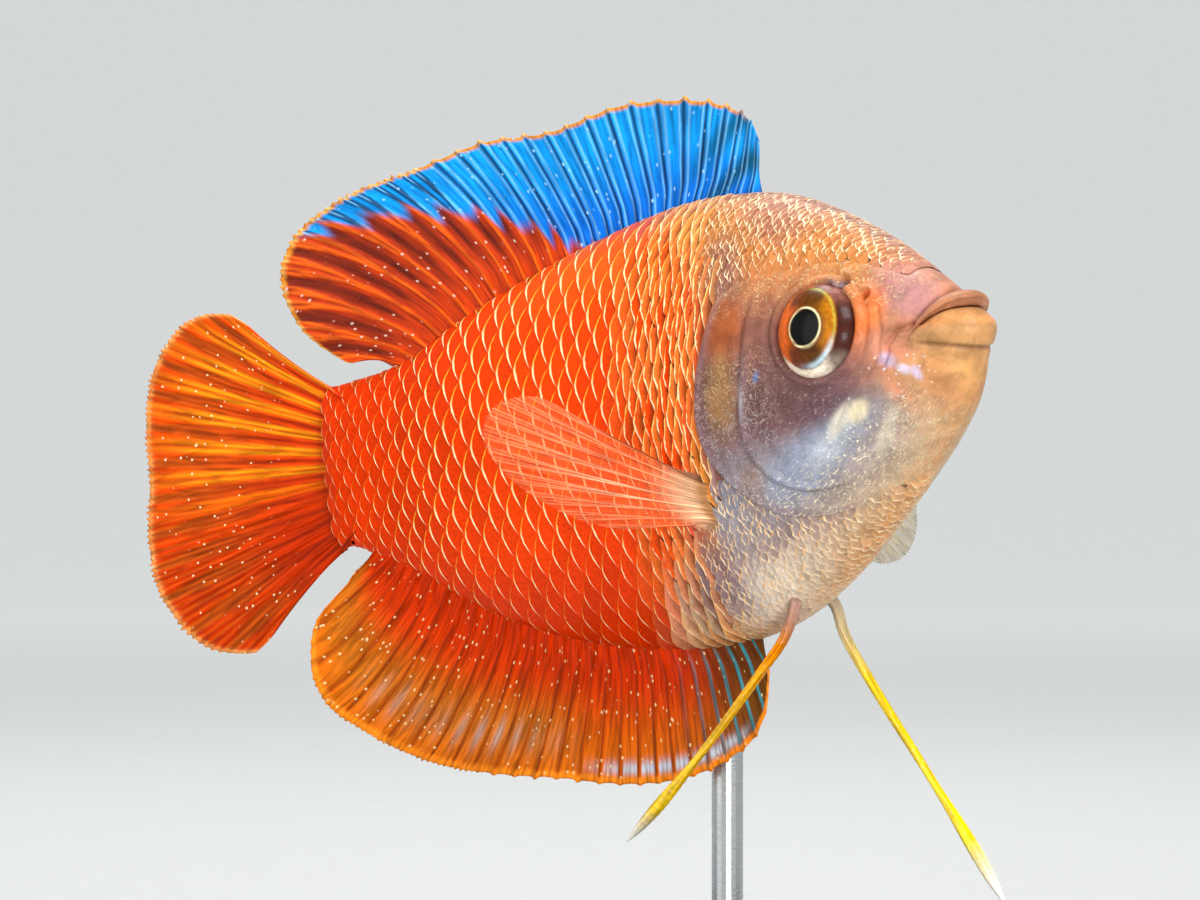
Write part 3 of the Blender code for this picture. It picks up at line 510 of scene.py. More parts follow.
    def frame_at(self, t: float, z: float, side: Side) -> tuple[Array, Array]:
        """Point of a flank and its axes back, up and out, as rows."""
        ring, down = self.find(t, z)
        down = down if side is Side.RIGHT else 360.0 - down
        out = self.outward(ring, down)
        back = unit(np.array([1.0, 0.0, 0.0]) - out * out[0])
        up = np.cross(back, out)
        return self.skin(ring, down), np.array([back, up * np.sign(up[2]), out])

    def profile_z(self, t: Array, degrees: float) -> Array:
        """Height of the back (0) or the belly (180) line at t."""
        line = self.skin(np.linspace(2.0, 13.0, 400), degrees)
        return np.interp(t, line[:, 0], line[:, 2])

    def belly_point(self, t: float, y: float) -> tuple[Array, Array]:
        """Point and normal of the underside at this t and y."""
        rings, degrees = np.meshgrid(np.linspace(4.0, 12.0, 321), np.linspace(120.0, 180.0, 241))
        points = self.skin(rings, degrees)
        miss = (points[..., 0] - t) ** 2 + (points[..., 1] + abs(y)) ** 2
        best = np.unravel_index(np.argmin(miss), miss.shape)
        down = degrees[best] if y < 0 else 360.0 - degrees[best]
        return self.skin(rings[best], down), self.outward(rings[best], down)


def folded(degrees: Array) -> Array:
    """Degrees down from the back, 0 to 180, alike on both sides."""
    return np.abs((np.asarray(degrees, float) + 180.0) % 360.0 - 180.0)


@dataclass(frozen=True)
class Patch:
    """A soft oval of colour on both flanks: its centre, half lengths and turn in t and z."""

    colour: str
    t: float
    z: float
    long: float
    short: float
    turn: float = 0.0
    strength: float = 1.0

    def share(self, t: Array, z: Array) -> Array:
        """exp(-d^4), where d is the distance in half lengths, so the middle is even."""
        turn = math.radians(self.turn)
        along = (t - self.t) * math.cos(turn) + (z - self.z) * math.sin(turn)
        across = (z - self.z) * math.cos(turn) - (t - self.t) * math.sin(turn)
        return self.strength * np.exp(-((along / self.long) ** 2 + (across / self.short) ** 2) ** 2)


@dataclass
class Markings:
    """Colours of the living skin, the same for skin and scales."""

    form: BodyForm
    flame: str = "#FC4200"
    ember: str = "#CE2C00"
    rose: str = "#FF6A18"
    # Painted shade: the dark brown laid on the skin under the scales and on each plate's covered root
    scale_shade_brown: str = "#6A2A10"
    # Where the head's colours give way to the flank's, as z and t, and half the fade
    border_z: tuple[float, ...] = (-15.0, -12.0, -9.0, -4.0, 1.0, 6.0, 10.0, 13.0)
    border_t: tuple[float, ...] = (28.0, 25.6, 22.9, 20.1, 19.0, 19.6, 22.6, 25.5)
    fade: float = 1.9
    # The head's ground colours by degrees down from the back; the mauve grey at the back is painted
    # sheen
    ground: Stops = (
        (0.0, "#9C8480"), (12.0, "#B87C54"), (34.0, "#CC8446"), (52.0, "#C47A48"),
        (68.0, "#8E5644"), (84.0, "#744846"), (104.0, "#7A5658"), (120.0, "#8E909C"),
        (138.0, "#A89490"), (158.0, "#CCAA88"), (180.0, "#E8A870"),
    )
    snout: str = "#BE7C5C"
    chin: str = "#CC945A"
    patches: tuple[Patch, ...] = (
        Patch("#9A6A66", 14.5, 10.4, 3.4, 1.5, 24.0, 0.6),
        Patch("#B27E80", 4.2, 4.3, 2.8, 1.1, 40.0, 0.8),
        Patch("#8A5236", 4.6, 1.9, 1.0, 0.35, -30.0, 0.6),
        Patch("#A8644A", 2.4, -1.4, 0.9, 1.6, 0.0, 0.4),
        Patch("#F2E4D4", 18.2, -12.4, 2.8, 1.8, -20.0, 0.75),
        Patch("#E89424", 20.1, -4.9, 0.7, 1.1, 0.0, 0.8),
        Patch("#8A665E", 17.6, 7.6, 2.4, 1.6, 60.0, 0.7),
        Patch("#E0702C", 6.6, 3.2, 1.5, 1.9, 20.0, 0.85),
        Patch("#C88468", 5.4, 1.2, 1.3, 1.1, 0.0, 0.6),
        Patch("#A8501A", 16.8, 3.8, 1.9, 1.7, 80.0, 0.85),
        Patch("#A87A34", 17.2, -0.4, 2.6, 1.3, 95.0, 0.6),
        Patch("#8C6A74", 15.4, -1.0, 3.0, 0.5, 95.0, 0.7),
        Patch("#C0C4D0", 15.5, -0.8, 1.3, 0.22, 92.0, 0.8),
        Patch("#9A6A4C", 15.8, -6.0, 1.6, 1.2, 120.0, 0.6),
        Patch("#64403E", 12.9, -1.5, 3.0, 1.7, -8.0, 0.85),
        Patch("#5C3A42", 9.6, -1.9, 2.2, 1.0, -10.0, 0.7),
        Patch("#8C92A8", 11.6, -5.2, 3.6, 1.6, -26.0, 0.9),
        Patch("#B6BCC8", 9.4, -4.0, 2.6, 0.8, -34.0, 0.85),
        Patch("#E6DCC4", 8.6, -2.9, 1.5, 0.45, -44.0, 0.8),
        Patch("#F4E2B4", 7.2, -2.5, 0.9, 0.55, -40.0, 0.85),
        Patch("#E0D0B8", 5.9, -3.9, 1.9, 0.4, -52.0, 0.7),
        Patch("#3E8AD0", 14.2, 0.5, 0.2, 0.4, 20.0, 0.55),
        Patch("#B8B2D8", 5.0, 0.3, 0.7, 0.4, 30.0, 0.6),
        Patch("#DCD4F0", 3.9, -0.4, 0.5, 0.28, 30.0, 0.7),
        Patch("#C8C4EC", 3.2, -0.7, 0.26, 0.5, -20.0, 0.6),
        Patch("#D27A48", 4.4, -1.6, 1.3, 0.7, 60.0, 0.5),
        Patch("#7C6A74", 8.4, 5.2, 0.8, 0.35, 30.0, 0.9),
        Patch("#E8A31C", 20.0, -3.6, 0.5, 1.8, 0.0, 0.7),
        Patch("#E4D0B8", 15.4, -11.4, 3.2, 1.3, -30.0, 0.7),
        Patch("#B8703C", 21.4, -8.6, 1.6, 2.4, 0.0, 0.8),
        Patch("#8A7078", 21.8, -11.2, 3.2, 2.4, 20.0, 0.8),
    )
    lip_upper: str = "#B27650"
    lip_lower: str = "#BC8A58"
    # Painted shade for the mouth's seam and the creases round the lips
    lip_shade: str = "#6A3018"
    lip_glow: str = "#E8985C"
    rim_mauve: str = "#86646E"

    def head_ground(self, ring: Array, down: Array) -> Array:
        """The head's ground colour: stops by degrees, with the snout laid over the front."""
        ground = graded(self.ground, down)
        front = layered(all_over(self.snout, ground), (self.chin, ease(down, 92.0, 125.0)))
        return blend(ground, front, 1.0 - ease(ring, 2.2, 4.2))

    def tint(self, ring: Array, degrees: Array, point: Array) -> Array:
        """Colour of the skin at points of the body, with painted shade in the mouth's seam and lip
        creases.

        Args:
            ring: Place along the stations.
            degrees: Turn from the back.
            point: Fish-frame points.

        Returns:
            A linear colour for each point.
        """
        down = folded(degrees)
        t, z = point[..., 0], point[..., 2]
        crown = (1.0 - ease(down, 7.0, 13.0)) * ease(t, 19.0, 23.0)
        flank = layered(
            linear(self.flame),
            (self.ember, 0.75 * np.maximum(ease(t, 36.0, 52.0), ease(-z, 5.0, 13.0))),
            (self.rose, 0.6 * ease(z, 6.0, 10.0) * (1 - ease(t, 30.0, 44.0))),
            ("#A83A0C", 0.7 * crown),
            ("#8C5C90", 0.6 * bell(down, 16.0, 9.0) * bell(t, 23.5, 3.6)))
        head = self.head_ground(ring, down)
        head = layered(head, *((patch.colour, patch.share(t, z)) for patch in self.patches))
        lips = 1.0 - ease(ring, 1.2, 1.7)
        head = layered(
            head,
            (self.lip_upper, 0.8 * lips * (down < 90.0)),
            (self.lip_lower, 0.8 * lips * (down >= 90.0)),
            (self.lip_glow, 0.7 * bell(ring, 0.42, 0.16) * (down > 90.0)),
            # Painted shade along the closed mouth's seam
            (self.lip_shade, 0.9 * (1.0 - ease(ring, 0.02, 0.16))))
        # Painted shade in the creases round the lips, over the relief's own creases
        crease_shade = np.maximum(0.7 * bell(ring, 1.76, 0.07) * (1.0 - ease(down, 58.0, 78.0)),
                           0.55 * bell(ring, 1.22, 0.06) * ease(down, 96.0, 112.0))
        crease_shade = np.maximum(crease_shade, 0.35 * bell(ring, 1.05, 0.05) * (down < 88.0))
        behind = ring - self.form.rim(degrees)
        cover_edge = 0.45 * bell(behind, -0.08, 0.07) * ease(down, 46.0, 60.0)
        head = layered(head, (self.lip_shade, crease_shade),
                       (self.rim_mauve, cover_edge * (1 - ease(down, 145.0, 160.0))))
        border = smooth(self.border_z, self.border_t, z)
        share = ease(t - border, -self.fade, self.fade) * ease(behind, -0.03, 0.03)
        above = 1.0 - ease(down, 40.0, 52.0)
        share = np.maximum(share, above * ease(t - border, -self.fade, self.fade))
        return blend(head, flank, share)


@dataclass(frozen=True)
class WetSkin:
    """Living fish skin under a film of slime: smooth, moist, with fine pale hairlines.

    The film gives broad soft highlights, and the hairlines catch small glints.
    """

    roughness: float = 0.44
    gloss: float = 0.2
    coat: float = 0.05
    coat_roughness: float = 0.14
    mottle_mm: float = 1.3
    crinkle_mm: float = 0.85
    streak_mm: float = 0.13
    fleck_mm: float = 0.5
    pore_mm: float = 0.16
    relief_mm: float = 0.07

    def build(self) -> Material:
        """Stored tint, mottled, with crinkled lines, streaks and flecks, partly painted glints, over
        it.

        Returns:
            The material.
        """
        made, tree, shader = new_material("wet_fish_skin")
        spot = object_spot(tree)
        run = map_spot(tree, "Run")
        tint, vein = stored(tree, "Tint", "Color"), stored(tree, "Vein", "Color")
        mottle = noise(tree, spot, per_metre(self.mottle_mm), 6.0, Roughness=0.68, Distortion=0.6)
        shade = ranged(tree, mottle, 0.34, 0.64, 0.72, 1.1)
        base = shaded(tree, tint, shade)
        crinkle = noise(tree, spot, per_metre(self.crinkle_mm), 3.0, Roughness=0.6, Distortion=1.9)
        far = figured(tree, "ABSOLUTE", figured(tree, "SUBTRACT", crinkle, 0.5))
        lines = product(tree, ranged(tree, far, 0.004, 0.022, 1.0, 0.0), stored(tree, "Crinkle"))
        turned = stretched(tree, run, (100.0 / (self.streak_mm * 3.2), 100.0 / self.streak_mm, 1.0),
                           math.radians(-52.0))
        hairs = noise(tree, turned, 1.0, 2.0, Distortion=0.3)
        streaks = product(tree, ranged(tree, hairs, 0.56, 0.66), stored(tree, "Streak"))
        # Pale flecks: the skin's own pale specks, painted bright as the small glints they give
        cells = add_node(tree, "ShaderNodeTexVoronoi",
                         {"Vector": spot, "Scale": per_metre(self.fleck_mm)})
        flecks = product(tree, ranged(tree, cells.outputs[0], 0.1, 0.24, 1.0, 0.0),
                         stored(tree, "FleckGlint"))
        pale = figured(tree, "MAXIMUM", figured(tree, "MAXIMUM", lines, streaks), flecks)
        tree.links.new(mixed(tree, pale, base, vein), shader.inputs["Base Color"])
        pores = noise(tree, spot, per_metre(self.pore_mm), 2.0)
        height = figured(tree, "ADD", product(tree, pores, 0.35), product(tree, pale, 0.8))
        raise_relief(tree, shader, height, 0.8, self.relief_mm)
        set_sockets(shader, {"Roughness": self.roughness, "Specular IOR Level": self.gloss,
                             "Coat Weight": self.coat, "Coat Roughness": self.coat_roughness})
        return made


@dataclass(frozen=True)
class ScaleFinish:
    """Fish scale: a thin clear bony plate over coloured skin, with a pale rear rim.

    It gives the flank its net of bright crescents and a moist gleam on every plate.
    """

    roughness: float = 0.34
    gloss: float = 0.1
    sheen: str = "#FFA860"
    coat: float = 0.02
    coat_roughness: float = 0.12
    grain_mm: float = 0.22
    relief_mm: float = 0.03
    ragged_mm: float = 0.55
    # Where the rim starts and is full, as shares of the plate's length, and how far a weak rim
    # draws back from there
    rim: tuple[float, float] = (0.885, 0.905)
    taper: float = 0.1

    def build(self) -> Material:
        """Stored tint, and the stored rim colour where the rim number is high.

        Returns:
            The material.
        """
        made, tree, shader = new_material("overlapping_fish_scales")
        spot = object_spot(tree)
        place = add_node(tree, "ShaderNodeSeparateXYZ", {0: map_spot(tree, "Plate")})
        grain = noise(tree, spot, per_metre(self.grain_mm), 3.0)
        ragged = noise(tree, spot, per_metre(self.ragged_mm), 2.0)
        wobble = product(tree, figured(tree, "SUBTRACT", ragged, 0.5), stored(tree, "Ragged"))
        strength = stored(tree, "RimShare")
        narrow = product(tree, figured(tree, "SUBTRACT", 1.0, strength), self.taper)
        at = figured(tree, "SUBTRACT", figured(tree, "ADD", place.outputs[1], wobble), narrow)
        rim = product(tree, ranged(tree, at, *self.rim), ranged(tree, strength, 0.0, 0.5))
        shade = ranged(tree, grain, 0.3, 0.7, 0.86, 1.08)
        base = shaded(tree, stored(tree, "Tint", "Color"), shade)
        colour = mixed(tree, rim, base, stored(tree, "Rim", "Color"))
        tree.links.new(colour, shader.inputs["Base Color"])
        raise_relief(tree, shader, grain, 0.4, self.relief_mm)
        set_sockets(shader, {"Roughness": self.roughness, "Specular IOR Level": self.gloss,
                             "Specular Tint": rgba(self.sheen), "Coat Weight": self.coat,
                             "Coat Roughness": self.coat_roughness})
        return made


@dataclass(frozen=True)
class FinFinish:
    """Fin web and rays: a thin moist film stretched over bony rods.

    The rods read as raised lines, the film between them is darker or clearer, and pale grains
    are scattered along both.
    """

    name: str
    roughness: float = 0.36
    gloss: float = 0.1
    sheen: str = "#FFB878"
    coat: float = 0.02
    speck_mm: float = 0.55
    speck_size: float = 0.2
    segment_mm: float = 0.42
    streak_mm: tuple[float, float] = (0.26, 3.0)
    relief_mm: float = 0.05
    clear: bool = False

    def build(self) -> Material:
        """Stored tint, specks where the speck number is high, segments on rays.

        Returns:
            The material.
        """
        made, tree, shader = new_material(self.name)
        run = map_spot(tree, "Run")
        spread = stretched(tree, run, (100.0 / self.speck_mm, 100.0 / (self.speck_mm * 1.7), 1.0))
        cells = add_node(tree, "ShaderNodeTexVoronoi", {"Vector": spread, "Scale": 1.0})
        speck = figured(tree, "MULTIPLY",
                        ranged(tree, cells.outputs[0], self.speck_size * 0.6, self.speck_size * 1.3,
                               1.0, 0.0), stored(tree, "Speck"))
        streaky = stretched(tree, run, (100.0 / self.streak_mm[0], 100.0 / self.streak_mm[1], 1.0))
        grain = noise(tree, streaky, 1.0, 4.0, Distortion=0.5)
        shade = ranged(tree, grain, 0.32, 0.66, 0.6, 1.2)
        base = shaded(tree, stored(tree, "Tint", "Color"), shade)
        tree.links.new(mixed(tree, speck, base, stored(tree, "SpeckTint", "Color")),
                       shader.inputs["Base Color"])
        bands = add_node(tree, "ShaderNodeTexWave",
                         {"Vector": run, "Scale": 100.0 / self.segment_mm / math.tau,
                          "Distortion": 0.0}, bands_direction="Y")
        joints = product(tree, bands.outputs[1], stored(tree, "Ray"))
        height = figured(tree, "ADD", product(tree, joints, 0.3), figured(tree, "ADD", grain, speck))
        raise_relief(tree, shader, height, 0.6, self.relief_mm)
        if self.clear:
            tree.links.new(stored(tree, "Solid"), shader.inputs["Alpha"])
        set_sockets(shader, {"Roughness": self.roughness, "Specular IOR Level": self.gloss,
                             "Specular Tint": rgba(self.sheen), "Coat Weight": self.coat,
                             "Coat Roughness": 0.15})
        return made


@dataclass(frozen=True)
class EyeGloss:
    """Fish eye: a coloured iris under a clear wet cornea, which gives one sharp bright gleam."""

    fibre_mm: float = 0.3

    def build(self) -> Material:
        """Stored tint with fine fibres, under a clear coat.

        Returns:
            The material.
        """
        made, tree, shader = new_material("clear_wet_eye")
        spot = object_spot(tree)
        fibre = noise(tree, spot, per_metre(self.fibre_mm), 4.0)
        shade = ranged(tree, fibre, 0.3, 0.7, 0.75, 1.15)
        base = shaded(tree, stored(tree, "Tint", "Color"), shade)
        tree.links.new(base, shader.inputs["Base Color"])
        set_sockets(shader, {"Roughness": 0.3, "Specular IOR Level": 0.1, "Coat Weight": 0.12,
                             "Coat Roughness": 0.06, "Coat IOR": 1.36})
        return made


@dataclass(frozen=True)
class SatinLacquer:
    """Black lacquer sprayed on fine-grained wood: deep, even, with a soft sheen and faint grain."""

    colour: str = "#17181A"
    worn: str = "#202226"
    grain_mm: float = 0.5
    relief_mm: float = 0.04

    def build(self) -> Material:
        """One dark colour, faint long grain in the height and the gloss.

        Returns:
            The material.
        """
        made, tree, shader = new_material("black_satin_lacquer")
        spot = object_spot(tree)
        along = stretched(tree, spot, (1.0 / 14.0, 1.0, 1.0))
        grain = noise(tree, along, per_metre(self.grain_mm), 4.0)
        colour = mixed(tree, ranged(tree, grain, 0.4, 0.7), rgba(self.colour), rgba(self.worn))
        tree.links.new(colour, shader.inputs["Base Color"])
        tree.links.new(ranged(tree, grain, 0.3, 0.7, 0.3, 0.38), shader.inputs["Roughness"])
        raise_relief(tree, shader, grain, 0.25, self.relief_mm)
        set_sockets(shader, {"Coat Weight": 0.5, "Coat Roughness": 0.12})
        return made


@dataclass(frozen=True)
class BrushedSteel:
    """Stainless steel rod brushed around on the lathe: fine rings that spread each highlight."""

    colour: str = "#B9BBBD"
    line_mm: float = 0.12
    relief_mm: float = 0.01

    def build(self) -> Material:
        """Metal whose gloss and height vary in fine level rings.

        Returns:
            The material.
        """
        made, tree, shader = new_material("brushed_stainless_steel")
        spot = object_spot(tree)
        rings = stretched(tree, spot, (0.06, 0.06, 1.0))
        lines = noise(tree, rings, per_metre(self.line_mm), 3.0)
        tree.links.new(ranged(tree, lines, 0.3, 0.7, 0.24, 0.4), shader.inputs["Roughness"])
        raise_relief(tree, shader, lines, 0.3, self.relief_mm)
        set_sockets(shader, {"Base Color": rgba(self.colour), "Metallic": 1.0})
        return made


@dataclass
class Skin:
    """The one skin of head, gill covers, trunk and tail stalk."""

    form: BodyForm
    markings: Markings
    columns: int = 360
    lip_rows: int = 26
    lip_end: float = 1.5
    head_rows: int = 112
    rim_rows: int = 12
    body_rows: int = 88
    end_rows: int = 8
    rim_band: float = 0.1
    mouth_depth: float = 1.0
    lip_lift: float = 0.6
    under_scales: float = -0.15
    cover_lift: float = 0.3
    end_length: float = 1.6
    # Nostril pits: t, z and radius
    nostrils: Table = ((8.0, 5.3, 0.36), (6.4, 4.4, 0.28))
    # Ridge in front of the gill cover, by degrees, as a ring
    ridge_degrees: tuple[float, ...] = (55.0, 72.0, 88.0, 105.0, 118.0, 130.0, 142.0)
    ridge_rings: tuple[float, ...] = (5.75, 6.0, 6.1, 6.25, 5.95, 5.4, 4.6)
    # Creases of the snout as lines in t and z, with depth and half width
    corner_crease: Table = ((3.3, 2.2), (4.3, 1.9), (5.0, 1.1), (5.2, 0.1))
    cheek_crease: Table = ((5.6, 3.6), (5.3, 2.2), (5.6, 0.6), (6.4, -0.6))
    jaw_crease: Table = ((4.6, -2.2), (6.6, -4.6), (9.4, -6.8), (12.0, -8.2))
    # Middles of the finely flecked spots, whose flecks are partly painted glints, as t and z
    fleck_spots: Table = ((5.0, 0.2), (7.4, -2.6), (3.6, -0.6), (9.0, -4.0))

    @property
    def mirror(self) -> Array:
        """For each column, the one opposite it on the other lip."""
        return (self.columns // 2 - np.arange(self.columns)) % self.columns

    def rows(self, degrees: Array) -> Array:
        """Ring of every row and column: lips, head up to the rim, the rim's band, trunk."""
        rim = self.form.rim(degrees)[None, :]
        lips = np.linspace(0.0, self.lip_end, self.lip_rows)[:, None] + 0 * rim
        head = np.linspace(0.0, 1.0, self.head_rows + 1)[1:, None]
        band = np.linspace(-self.rim_band, self.rim_band, self.rim_rows + 1)[1:, None]
        trunk = np.linspace(0.0, 1.0, self.body_rows + 1)[1:, None]
        front, back = rim - self.rim_band, rim + self.rim_band
        return np.concatenate([lips, self.lip_end + (front - self.lip_end) * head, rim + band,
                               back + (self.form.stations[-1][0] - back) * trunk])

    def relief(self, ring: Array, degrees: Array, point: Array) -> Array:
        """How far the skin stands out of the plain body, in millimetres.

        Args:
            ring: Place along the stations.
            degrees: Turn from the back.
            point: Fish-frame points.

        Returns:
            A height for each point.
        """
        down = folded(degrees)
        t, z = point[..., 0], point[..., 2]
        scaled = scale_share(self.form, ring, degrees)
        height = self.under_scales * scaled
        behind = ring - self.form.rim(degrees)
        arc = ease(down, 46.0, 70.0) * (1.0 - ease(down, 135.0, 158.0))
        reach = np.clip(1.0 + behind / 1.6, 0.0, 1.0)
        height += self.cover_lift * arc * np.sqrt(reach) * (behind <= 0.0)
        ridge = smooth(self.ridge_degrees, self.ridge_rings, down)
        shown = ease(down, 55.0, 70.0) * (1.0 - ease(down, 132.0, 142.0))
        height += shown * (0.16 * bell(ring, ridge - 0.05, 0.07)
                           - 0.14 * bell(ring, ridge + 0.09, 0.06))
        height += self.face_relief(ring, down, point)
        for pit_t, pit_z, radius in self.nostrils:
            far = np.hypot(t - pit_t, z - pit_z)
            height += (0.16 * bell(far, radius * 1.5, radius * 0.5)
                       - 0.5 * np.exp(-((far / radius) ** 4))) * (down < 80.0)
        return height

    def face_relief(self, ring: Array, down: Array, point: Array) -> Array:
        """Folds of the lips, the snout and the eye's rim, as bells across their lines.

        Args:
            ring: Place along the stations.
            down: Degrees down from the back, 0 to 180.
            point: Fish-frame points.

        Returns:
            A height for each point.
        """
        t, z = point[..., 0], point[..., 2]
        near = ring < 5.5
        height = -0.24 * bell(ring, 1.78, 0.1) * (1.0 - ease(down, 58.0, 78.0))
        height += 0.14 * bell(ring, 1.45, 0.16) * (1.0 - ease(down, 60.0, 80.0))
        height -= 0.2 * bell(ring, 1.22, 0.09) * ease(down, 96.0, 112.0)
        height += 0.1 * bell(ring, 0.75, 0.2) * ease(down, 96.0, 112.0)
        height -= 0.26 * near * bell(line_distance(t, z, self.corner_crease), 0.0, 0.16)
        height -= 0.14 * near * bell(line_distance(t, z, self.cheek_crease), 0.0, 0.2)
        height -= 0.1 * bell(line_distance(t, z, self.jaw_crease), 0.0, 0.18)
        centre = self.form.skin(*self.form.find(*self.form.eye_at))
        mirrored = np.stack([t, -np.abs(point[..., 1]), z], axis=-1)
        far = np.linalg.norm(mirrored - centre, axis=-1)
        radius = self.form.eye_radius
        height += 0.2 * bell(far, radius + 0.16, 0.24)
        height -= 0.14 * bell(far, radius + 0.62, 0.2)
        return height - 1.5 * (1.0 - ease(far, radius - 0.75, radius - 0.06))

    def build(self, finish: Material) -> Piece:
        """Computes the whole grid, closes the mouth and the tail end, and adds the piece.

        Args:
            finish: The skin's material.

        Returns:
            The skin.
        """
        degrees = np.arange(self.columns) * 360.0 / self.columns
        ring = self.rows(degrees)
        turn = np.broadcast_to(degrees, ring.shape)
        plain = self.form.skin(ring, turn)
        normal = self.form.outward(np.maximum(ring, 0.3), turn)
        point = plain + normal * self.relief(ring, turn, plain)[..., None]
        point = self.close_lips(ring, point)
        mouth = self.mouth_rows(point[0])
        end = self.end_rows_of(point[-1])
        full = np.concatenate([mouth, point, end])
        ring = np.concatenate([np.full((len(mouth), self.columns), 0.0), ring,
                               np.full((len(end), self.columns), self.form.stations[-1][0])])
        turn = np.broadcast_to(degrees, ring.shape)
        faces = grid_faces(len(full), self.columns, wrap=True)
        first = np.arange(len(full) * self.columns)
        first[:self.columns] = np.minimum(np.arange(self.columns), self.mirror)
        tip = full.shape[0] * self.columns
        last = (len(full) - 1) * self.columns + np.arange(self.columns)
        points = np.concatenate([full.reshape(-1, 3), full[-1].mean(axis=0)[None]])
        ring = np.append(ring.ravel(), ring[-1, 0])
        turn = np.append(turn.ravel(), 0.0)
        world = self.form.place(points)
        numbers, colours = self.dressing(ring, turn, points)
        along = np.append(np.repeat(np.linspace(0.0, 1.0, len(full)), self.columns), 1.0)
        maps = {"OFBake": np.stack([along, np.clip(turn / 360.0, 0.0, 1.0)], axis=-1),
                "Run": self.run_map(points, turn)}
        faces = [first[faces], pole_fan(last, tip)]
        solids = ("head", "gill_cover_right", "gill_cover_left", "torso", "tail_stalk")
        return add_piece("skin", world, faces, finish, numbers, colours, maps, solids)

    def close_lips(self, ring: Array, point: Array) -> Array:
        """Draws both lips to one line, and lifts that line towards the snout."""
        seam = (point + point[:, self.mirror]) / 2
        shut = 0.9 * (1.0 - ease(ring, 0.02, 0.36))[..., None]
        point = point + (seam - point) * shut
        lift = self.lip_lift * (1.0 - ease(ring, 0.5, 1.7))
        aside = ease(np.abs(point[..., 1]), 0.2, 2.2)
        return point + np.stack([0.25 * lift * aside, 0 * lift, lift * (0.75 + 0.25 * aside)], axis=-1)

    def mouth_rows(self, lip: Array) -> Array:
        """Rows from the closed inner seam out to the lips: upper and lower lip meet there."""
        seam = (lip + lip[self.mirror]) / 2
        rows = [seam + (lip - seam) * (1 - share) + np.array([self.mouth_depth * share, 0.0, 0.0])
                for share in (1.0, 0.6, 0.25)]
        return np.array(rows)

    def end_rows_of(self, last: Array) -> Array:
        """Rows that round off the stalk's end: its width falls along a quarter ellipse."""
        turn = np.linspace(0.0, math.pi / 2, self.end_rows + 1)[1:, None]
        t = last[None, :, 0] + self.end_length * np.sin(turn)
        y = last[None, :, 1] * np.cos(turn)
        return np.stack([t, y, last[None, :, 2] * (1.0 - 0.02 * np.sin(turn))], axis=-1)

    def run_map(self, points: Array, turn: Array) -> Array:
        """Map of the skin in decimetres: t along, and the way down the flank across."""
        down = folded(turn)
        return np.stack([points[:, 0], down * 0.16], axis=-1) / 100.0

    def dressing(self, ring: Array, turn: Array, points: Array) -> tuple[Layers, Layers]:
        """Colours and pattern strengths of every point, with painted shade on the skin under the
        scales.

        Args:
            ring: Place along the stations.
            turn: Degrees from the back.
            points: Fish-frame points.

        Returns:
            The numbers and the colours to store.
        """
        down = folded(turn)
        t, z = points[:, 0], points[:, 2]
        on_head = 1.0 - ease(ring - self.form.rim(turn), -0.02, 0.04)
        cheek = on_head * ease(down, 70.0, 86.0) * ease(ring, 3.6, 4.4)
        throat = ease(down, 112.0, 130.0) * ease(ring, 2.4, 3.2) * (1 - ease(t, 19.0, 26.0))
        brow = (1.0 - ease(down, 56.0, 72.0)) * ease(ring, 2.2, 3.0) * (1 - ease(t, 20.0, 26.0))
        tint = self.markings.tint(ring, turn, points)
        # Painted shade: the skin under the scales darkened where it shows in the gaps between plates
        groove = scale_share(self.form, ring, turn) * (1.0 - brow) * (1.0 - ease(t, 50.0, 54.0))
        tint = layered(tint, (self.markings.scale_shade_brown, 0.45 * groove))
        vein = layered(all_over("#FFDCA0", tint), ("#E6E2E4", ease(down, 75.0, 110.0)),
                       ("#FFF0CC", ease(down, 118.0, 132.0)))
        spots = sum(Patch("#FFFFFF", *at, 1.6, 1.2).share(t, z) for at in self.fleck_spots)
        rear = cheek * ease(t, 12.5, 14.5)
        numbers = {"Crinkle": 0.7 * brow + 0.55 * throat + 0.05 * cheek + 0.45 * rear,
                   "Streak": 0.1 * cheek + 0.6 * throat,
                   "FleckGlint": 0.18 * cheek + 0.35 * throat + 0.2 * brow + 0.5 * spots}
        numbers = {key: np.clip(values, 0, 1) for key, values in numbers.items()}
        return numbers, {"Tint": tint, "Vein": vein}


def nape_edge(ring: Array) -> Array:
    """How far down from the back the small scales of forehead and nape reach, in degrees."""
    return smooth((2.6, 3.2, 4.0, 5.0, 6.0, 6.7), (24.0, 30.0, 37.0, 47.0, 54.0, 60.0), ring)


def scale_share(form: BodyForm, ring: Array, degrees: Array) -> Array:
    """1 where scales lie, 0 on bare skin, with a soft step between."""
    down = folded(degrees)
    behind = ease(ring - form.rim(degrees), 0.0, 0.05)
    nape = (1.0 - ease(down - nape_edge(ring), -3.0, 2.0)) * ease(ring, 2.6, 3.0)
    return np.maximum(behind, nape)


